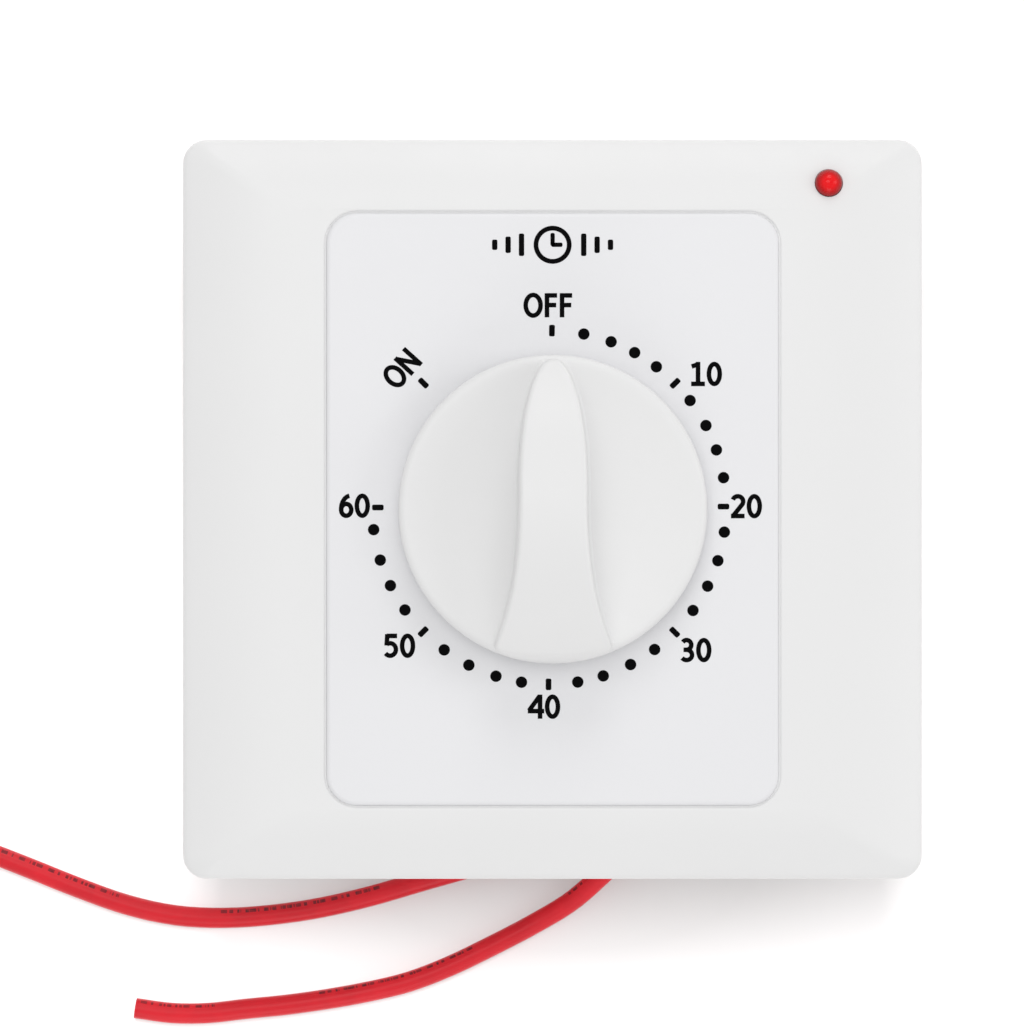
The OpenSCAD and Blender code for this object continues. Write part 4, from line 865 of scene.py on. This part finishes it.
class SWITCH_OT_dial(bpy.types.Operator):
    """Prints the minute ring, the ticks, the numbers and the clock sign on the panel"""

    bl_idname = "switch.dial"
    bl_label = "Dial print"

    def execute(self, context):
        s = context.scene.switch_sizes
        self.level, self.ink_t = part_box("dial_panel")[1].z, s.ink_t
        dots, ticks = bmesh.new(), bmesh.new()
        for turn in DOT_TURNS:
            self.disc(dots, self.on_ring(turn, s.ring_r), s.dot_d / 2)
        for turn, nearer in TICKS:
            self.bar(ticks, self.on_ring(turn, s.ring_r - nearer * MM), s.tick_w, s.tick_l, turn)
        self.printed(dots, "minute_dots")
        self.printed(ticks, "ten_minute_ticks")
        for name, x, y, turn, spots in MARKS:
            text = name.removeprefix("mark_").upper()
            self.word(name, self.film((x * MM, y * MM), -turn), zip(text, spots), s)
        self.clock_sign()
        return {"FINISHED"}

    def printed(self, bm, name):
        keep(bm, name, "case", "dial_ink", weighted=False)

    def on_ring(self, turn, r):
        a = math.radians(90 - turn)
        return Vector((DIAL_CENTRE[0] + r * math.cos(a), DIAL_CENTRE[1] + r * math.sin(a), 0))

    def film(self, at, turn=0):
        """Places a print whose middle lies half sunk in the panel's face."""
        return Matrix.Translation((at[0], at[1], self.level)) @ Matrix.Rotation(math.radians(-turn), 4, "Z")

    def disc(self, bm, at, r):
        bmesh.ops.create_cone(
            bm, cap_ends=True, segments=28, radius1=r, radius2=r, depth=2 * self.ink_t,
            matrix=self.film(at),
        )

    def bar(self, bm, at, w, length, turn=0):
        corner, t = 0.18 * MM, 2 * self.ink_t
        shape = self.film(at, turn) @ Matrix.Diagonal((w, length, t, 1))
        made = bmesh.ops.create_cube(bm, size=1, matrix=shape)
        edges = {e for v in made["verts"] for e in v.link_edges}
        upright = [e for e in edges if abs(e.verts[0].co.z - e.verts[1].co.z) > t / 2]
        bmesh.ops.bevel(
            bm, geom=upright, offset=corner, segments=3, profile=0.5, affect="EDGES", material=-1,
        )

    def word(self, name, film, characters, s):
        """One mark: each of a character's strokes lies a hair lower than the one before."""
        lower = 0.15
        bm = bmesh.new()
        scale = Matrix.Diagonal((s.digit_h / TYPE_H, s.digit_h / TYPE_H, 1, 1))
        for character, spot in characters:
            place = film @ scale @ Matrix.Translation((spot * MM, 0, 0))
            for k, line in enumerate(TYPE[character]):
                points = [Vector(q) * MM for q in line]
                self.stroke(bm, points, place, s.pen / 2, s.ink_t * (1 - lower * k))
        self.printed(bm, name)

    def stroke(self, bm, line, place, half, t):
        """One pen stroke; a line that ends where it starts becomes a ring."""
        ring = (line[0] - line[-1]).length < NEAR
        if ring:
            line = line[:-1]
        left, right = [], []
        for i, here in enumerate(line):
            last, following = line[i - 1], line[(i + 1) % len(line)]
            if not ring:
                last, following = line[max(i - 1, 0)], line[min(i + 1, len(line) - 1)]
            out = (following - last).orthogonal().normalized() * half
            left.append(here + out)
            right.append(here - out)
        if ring:
            rows = ((left, -t), (left, t), (right, t), (right, -t))
        else:
            rows = ((left + right[::-1], -t), (left + right[::-1], t))
        loops = [ring_loop(bm, [place @ Vector((*q, z)) for q in row]) for row, z in rows]
        skin(bm, loops, closed=ring, apart=APART)

    def clock_sign(self):
        """A small clock face between two rows of bars, above the dial."""
        y, r, ring_w = 30.6 * MM, 2.2 * MM, 0.55 * MM
        hand_w, minute_hand, hour_hand = 0.5 * MM, 1.5 * MM, 1.3 * MM
        bar_w, first, pitch, longest, shorter = 0.62 * MM, 3.6, 1.55, 2.6, 0.7
        low, high, inner = self.level - self.ink_t, self.level + self.ink_t, r - ring_w
        bm = bmesh.new()
        face = [(inner, low), (r, low), (r, high), (inner, high), (inner, low)]
        turned(bm, face, steps=48, centre=(0, y))
        self.bar(bm, (0, y + 0.62 * MM), hand_w, minute_hand)
        self.bar(bm, (0.5 * MM, y), hour_hand, hand_w)
        for side in (-1, 1):
            for k in range(3):
                self.bar(bm, (side * (first + pitch * k) * MM, y), bar_w, (longest - shorter * k) * MM)
        self.printed(bm, "clock_sign")


class SWITCH_OT_knob(bpy.types.Operator):
    """Builds the knob: a hollowed round foot under a waisted, arched pointer grip with soft edges"""

    bl_idname = "switch.knob"
    bl_label = "Knob"

    def execute(self, context):
        s = context.scene.switch_sizes
        lo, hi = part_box("knob")
        rim_w = 1.2 * MM
        self.r, self.foot, self.top = (hi.x - lo.x) / 2, lo.z, hi.z
        self.rim = lo.z + s.rim_h
        self.dish_edge = self.r - rim_w
        self.dish_r = (self.dish_edge ** 2 + s.dish ** 2) / (2 * s.dish)
        bm = bmesh.new()
        self.disc(bm, s)
        self.grip(bm, s)
        keep(bm, "knob_grip", "knob_shaft", "knob_white", replaces=["knob"], sharp=50, weighted=False)
        return {"FINISHED"}

    def face(self, reach, s):
        """Height of the foot's upper face at a distance from the axis."""
        shoulder = self.r - s.rim_r
        if reach > shoulder:
            return self.rim - s.rim_r + math.sqrt(s.rim_r ** 2 - min(reach - shoulder, s.rim_r) ** 2)
        if reach > self.dish_edge:
            return self.rim
        return self.rim - s.dish + self.dish_r - math.sqrt(self.dish_r ** 2 - reach ** 2)

    def disc(self, bm, s):
        """The round foot, open below and hollowed above."""
        roof, wall, soft = self.foot + 0.4 * MM, self.r - 1.8 * MM, 0.25 * MM
        lip_out, lip_in, rings = 0.2 * MM, 0.25 * MM, 24
        profile = [(0, roof), (wall, roof), (wall, self.foot)]
        profile += [(self.r - soft, self.foot), (self.r, self.foot + soft)]
        profile += arc(self.r - s.rim_r, self.rim - s.rim_r, s.rim_r, 0, 90, steps=8)
        profile.append((self.dish_edge + lip_out, self.rim))
        for i in range(rings + 1):
            reach = (self.dish_edge - lip_in) * (1 - i / rings)
            profile.append((reach, self.face(reach, s)))
        turned(bm, profile, steps=160)

    def plan(self, s):
        """The grip seen from the front: points from its tip, round its foot end and back to the tip."""
        flare, flank_steps, side_steps = 2.8, 80, 140
        smoothings, near = 12, 6
        edge, tip = self.r - 0.05 * MM, self.r - s.tip_inset
        half = bow(0, s.grip_waist, s.grip_mid, tip - s.grip_waist, 90, 0, steps=40)
        for i in range(1, flank_steps):
            share = i / flank_steps
            x = s.grip_mid + (s.grip_foot - s.grip_mid) * share ** flare
            y = s.grip_waist - (s.grip_waist + self.r) * share
            if math.hypot(x, y) > edge:
                break
            half.append((x, y))
        corner = math.degrees(math.atan2(half[-1][1], half[-1][0]))
        half += arc(0, 0, edge, corner, -90, steps=24)[1:]
        right = spaced([Vector(q) for q in half], side_steps)
        turn = next(i for i, q in enumerate(right) if q.y < 0 and q.length > edge - NEAR)
        for _ in range(smoothings):
            for i in range(turn - near, turn + near + 1):
                right[i] = (right[i - 1] + 2 * right[i] + right[i + 1]) / 4
        return right + [Vector((-q.x, q.y)) for q in right[-2:0:-1]]

    def grip(self, bm, s):
        """The grip: a fillet out of the foot, leaning sides, a soft upper edge and the arched crest."""
        draft, buried, sunk, sunk_z = 0.022, 0.03 * MM, 0.8 * MM, self.foot + 1.4 * MM
        root_end, heel_start = self.r - 0.35 * MM, self.r - 0.5 * MM
        plan = self.plan(s)
        heel_x = max(q.x for q in plan)
        rows = []
        for i, here in enumerate(plan):
            ahead = (plan[(i + 1) % len(plan)] - plan[i - 1]).normalized()
            out = Vector((-ahead.y, ahead.x))
            root = min(max(root_end - here.length, 0), s.grip_root)
            heel = 1 - (here.x / heel_x) ** 2 if here.y < 0 and here.length > heel_start else 0
            rows.append((here, out, root, s.grip_edge + (s.grip_heel - s.grip_edge) * heel))

        def crest(y):
            return self.top - s.crest_r + math.sqrt(s.crest_r ** 2 - y * y)

        def lower(across, up):
            points = []
            for here, out, root, _ in rows:
                at = here + out * root * across
                points.append((*at, self.face(at.length, s) - buried + root * up))
            return ring_loop(bm, points)

        def upper(across, down):
            points = []
            for here, out, _, edge in rows:
                lean = draft * (crest(here.y) - self.rim)
                at = here - out * (lean + edge * across)
                points.append((*at, crest(at.y) - edge * down))
            return ring_loop(bm, points)

        quarter = arc(0, 0, 1, 0, 90, steps=5)
        loops = [ring_loop(bm, [(*(here - out * sunk), sunk_z) for here, out, _, _ in rows])]
        loops += [lower(1 - y, 1 - x) for x, y in quarter]
        loops += [upper(1 - x, 1 - y) for x, y in quarter]
        skin(bm, loops, capped=1)
        edges = loops[-1]
        for narrower in (0.66, 0.5, 0.0):
            made = bmesh.ops.extrude_edge_only(bm, edges=edges)["geom"]
            edges = [g for g in made if isinstance(g, bmesh.types.BMEdge)]
            verts = [g for g in made if isinstance(g, bmesh.types.BMVert)]
            bmesh.ops.scale(bm, vec=(narrower, 1, 1), verts=verts)


class SWITCH_OT_lamp(bpy.types.Operator):
    """Builds the red indicator lens with its dome and flange"""

    bl_idname = "switch.lamp"
    bl_label = "Lamp"

    def execute(self, context):
        lo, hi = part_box("led")
        flange_top = lo.z + FLANGE_H
        profile = [(0, lo.z), (FLANGE_R, lo.z), (FLANGE_R, flange_top), (LENS_R, flange_top)]
        profile += arc(0, hi.z - LENS_R, LENS_R, 0, 90, steps=14)
        profile[-1] = (0, hi.z)
        bm = bmesh.new()
        turned(bm, profile, steps=64, centre=lamp_centre(0)[:2])
        keep(bm, "lamp_lens", "case", "lens_red", replaces=["led"], sharp=50, weighted=False)
        return {"FINISHED"}


class SWITCH_OT_rear(bpy.types.Operator):
    """Softens the edges of the mounting plate, the rear box and its cover"""

    bl_idname = "switch.rear"
    bl_label = "Rear box"

    def execute(self, context):
        for node, corner in REAR_CORNERS:
            self.soften(node, corner, context.scene.switch_sizes.box_edge)
        return {"FINISHED"}

    def on_outline(self, at, lo, hi, corner, levels):
        """True on the outer walls, where they meet the top, the bottom or the seam."""
        x = max(lo.x + corner - at.x, at.x - hi.x + corner)
        y = max(lo.y + corner - at.y, at.y - hi.y + corner)
        reach = math.hypot(x, y) if min(x, y) > 0 else max(x, y)
        return abs(reach - corner) < 5 * NEAR and min(abs(at.z - z) for z in levels) < NEAR

    def soften(self, node, corner, width):
        flat, sharp = math.radians(0.5), math.radians(40)
        bm = bmesh.new()
        bm.from_mesh(frame["nodes"][node].data)
        bmesh.ops.remove_doubles(bm, verts=bm.verts, dist=MERGE)
        bmesh.ops.dissolve_limit(
            bm, angle_limit=flat, verts=bm.verts, edges=bm.edges, use_dissolve_boundaries=False,
        )
        lo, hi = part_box(node)
        levels = (lo.z, hi.z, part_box("rear_housing")[0].z)
        outline = [e for e in bm.edges if e.is_manifold and e.calc_face_angle(0) > sharp
                   and all(self.on_outline(v.co, lo, hi, corner, levels) for v in e.verts)]
        bmesh.ops.bevel(
            bm, geom=outline, offset=width, segments=3, profile=0.5, affect="EDGES", material=-1,
            clamp_overlap=False,
        )
        keep(bm, node + "_soft", "case", SLOT_OF[node], replaces=[node], sharp=40)


class SWITCH_OT_finish(bpy.types.Operator):
    """Gives each remaining piece of the frame its finish"""

    bl_idname = "switch.finish"
    bl_label = "Finishes"

    def execute(self, context):
        for node, piece in frame["nodes"].items():
            name = "lead_plain" if SLOT_OF[node] == "lead_red" else SLOT_OF[node]
            for slot in piece.material_slots:
                slot.material = finish_named(name)
        return {"FINISHED"}


class SWITCH_PT_pieces(bpy.types.Panel):
    """Lists the pieces of the switch"""

    bl_idname = "SWITCH_PT_pieces"
    bl_label = "Timer Switch"
    bl_space_type = "VIEW_3D"
    bl_region_type = "UI"
    bl_category = "Timer Switch"

    def draw(self, context):
        for operator in OPERATORS:
            self.layout.operator(operator.bl_idname)
        for group in (context.scene.switch_sizes, context.scene.switch_colours):
            column = self.layout.column(align=True)
            for name in group.__annotations__:
                column.prop(group, name)


OPERATORS = (
    SWITCH_OT_stage, SWITCH_OT_leads, SWITCH_OT_border, SWITCH_OT_panel, SWITCH_OT_dial, SWITCH_OT_knob,
    SWITCH_OT_lamp, SWITCH_OT_rear, SWITCH_OT_finish,
)
CLASSES = (SwitchSizes, SwitchColours, *OPERATORS, SWITCH_PT_pieces)


def register():
    for c in CLASSES:
        bpy.utils.register_class(c)
    bpy.types.Scene.switch_sizes = PointerProperty(type=SwitchSizes)
    bpy.types.Scene.switch_colours = PointerProperty(type=SwitchColours)


def unregister():
    del bpy.types.Scene.switch_colours
    del bpy.types.Scene.switch_sizes
    for c in reversed(CLASSES):
        bpy.utils.unregister_class(c)


def main():
    register()
    bpy.ops.switch.stage()
    bpy.ops.switch.leads()
    bpy.ops.switch.border()
    bpy.ops.switch.panel()
    bpy.ops.switch.dial()
    bpy.ops.switch.knob()
    bpy.ops.switch.lamp()
    bpy.ops.switch.rear()
    bpy.ops.switch.finish()


if __name__ == "__main__":
    main()
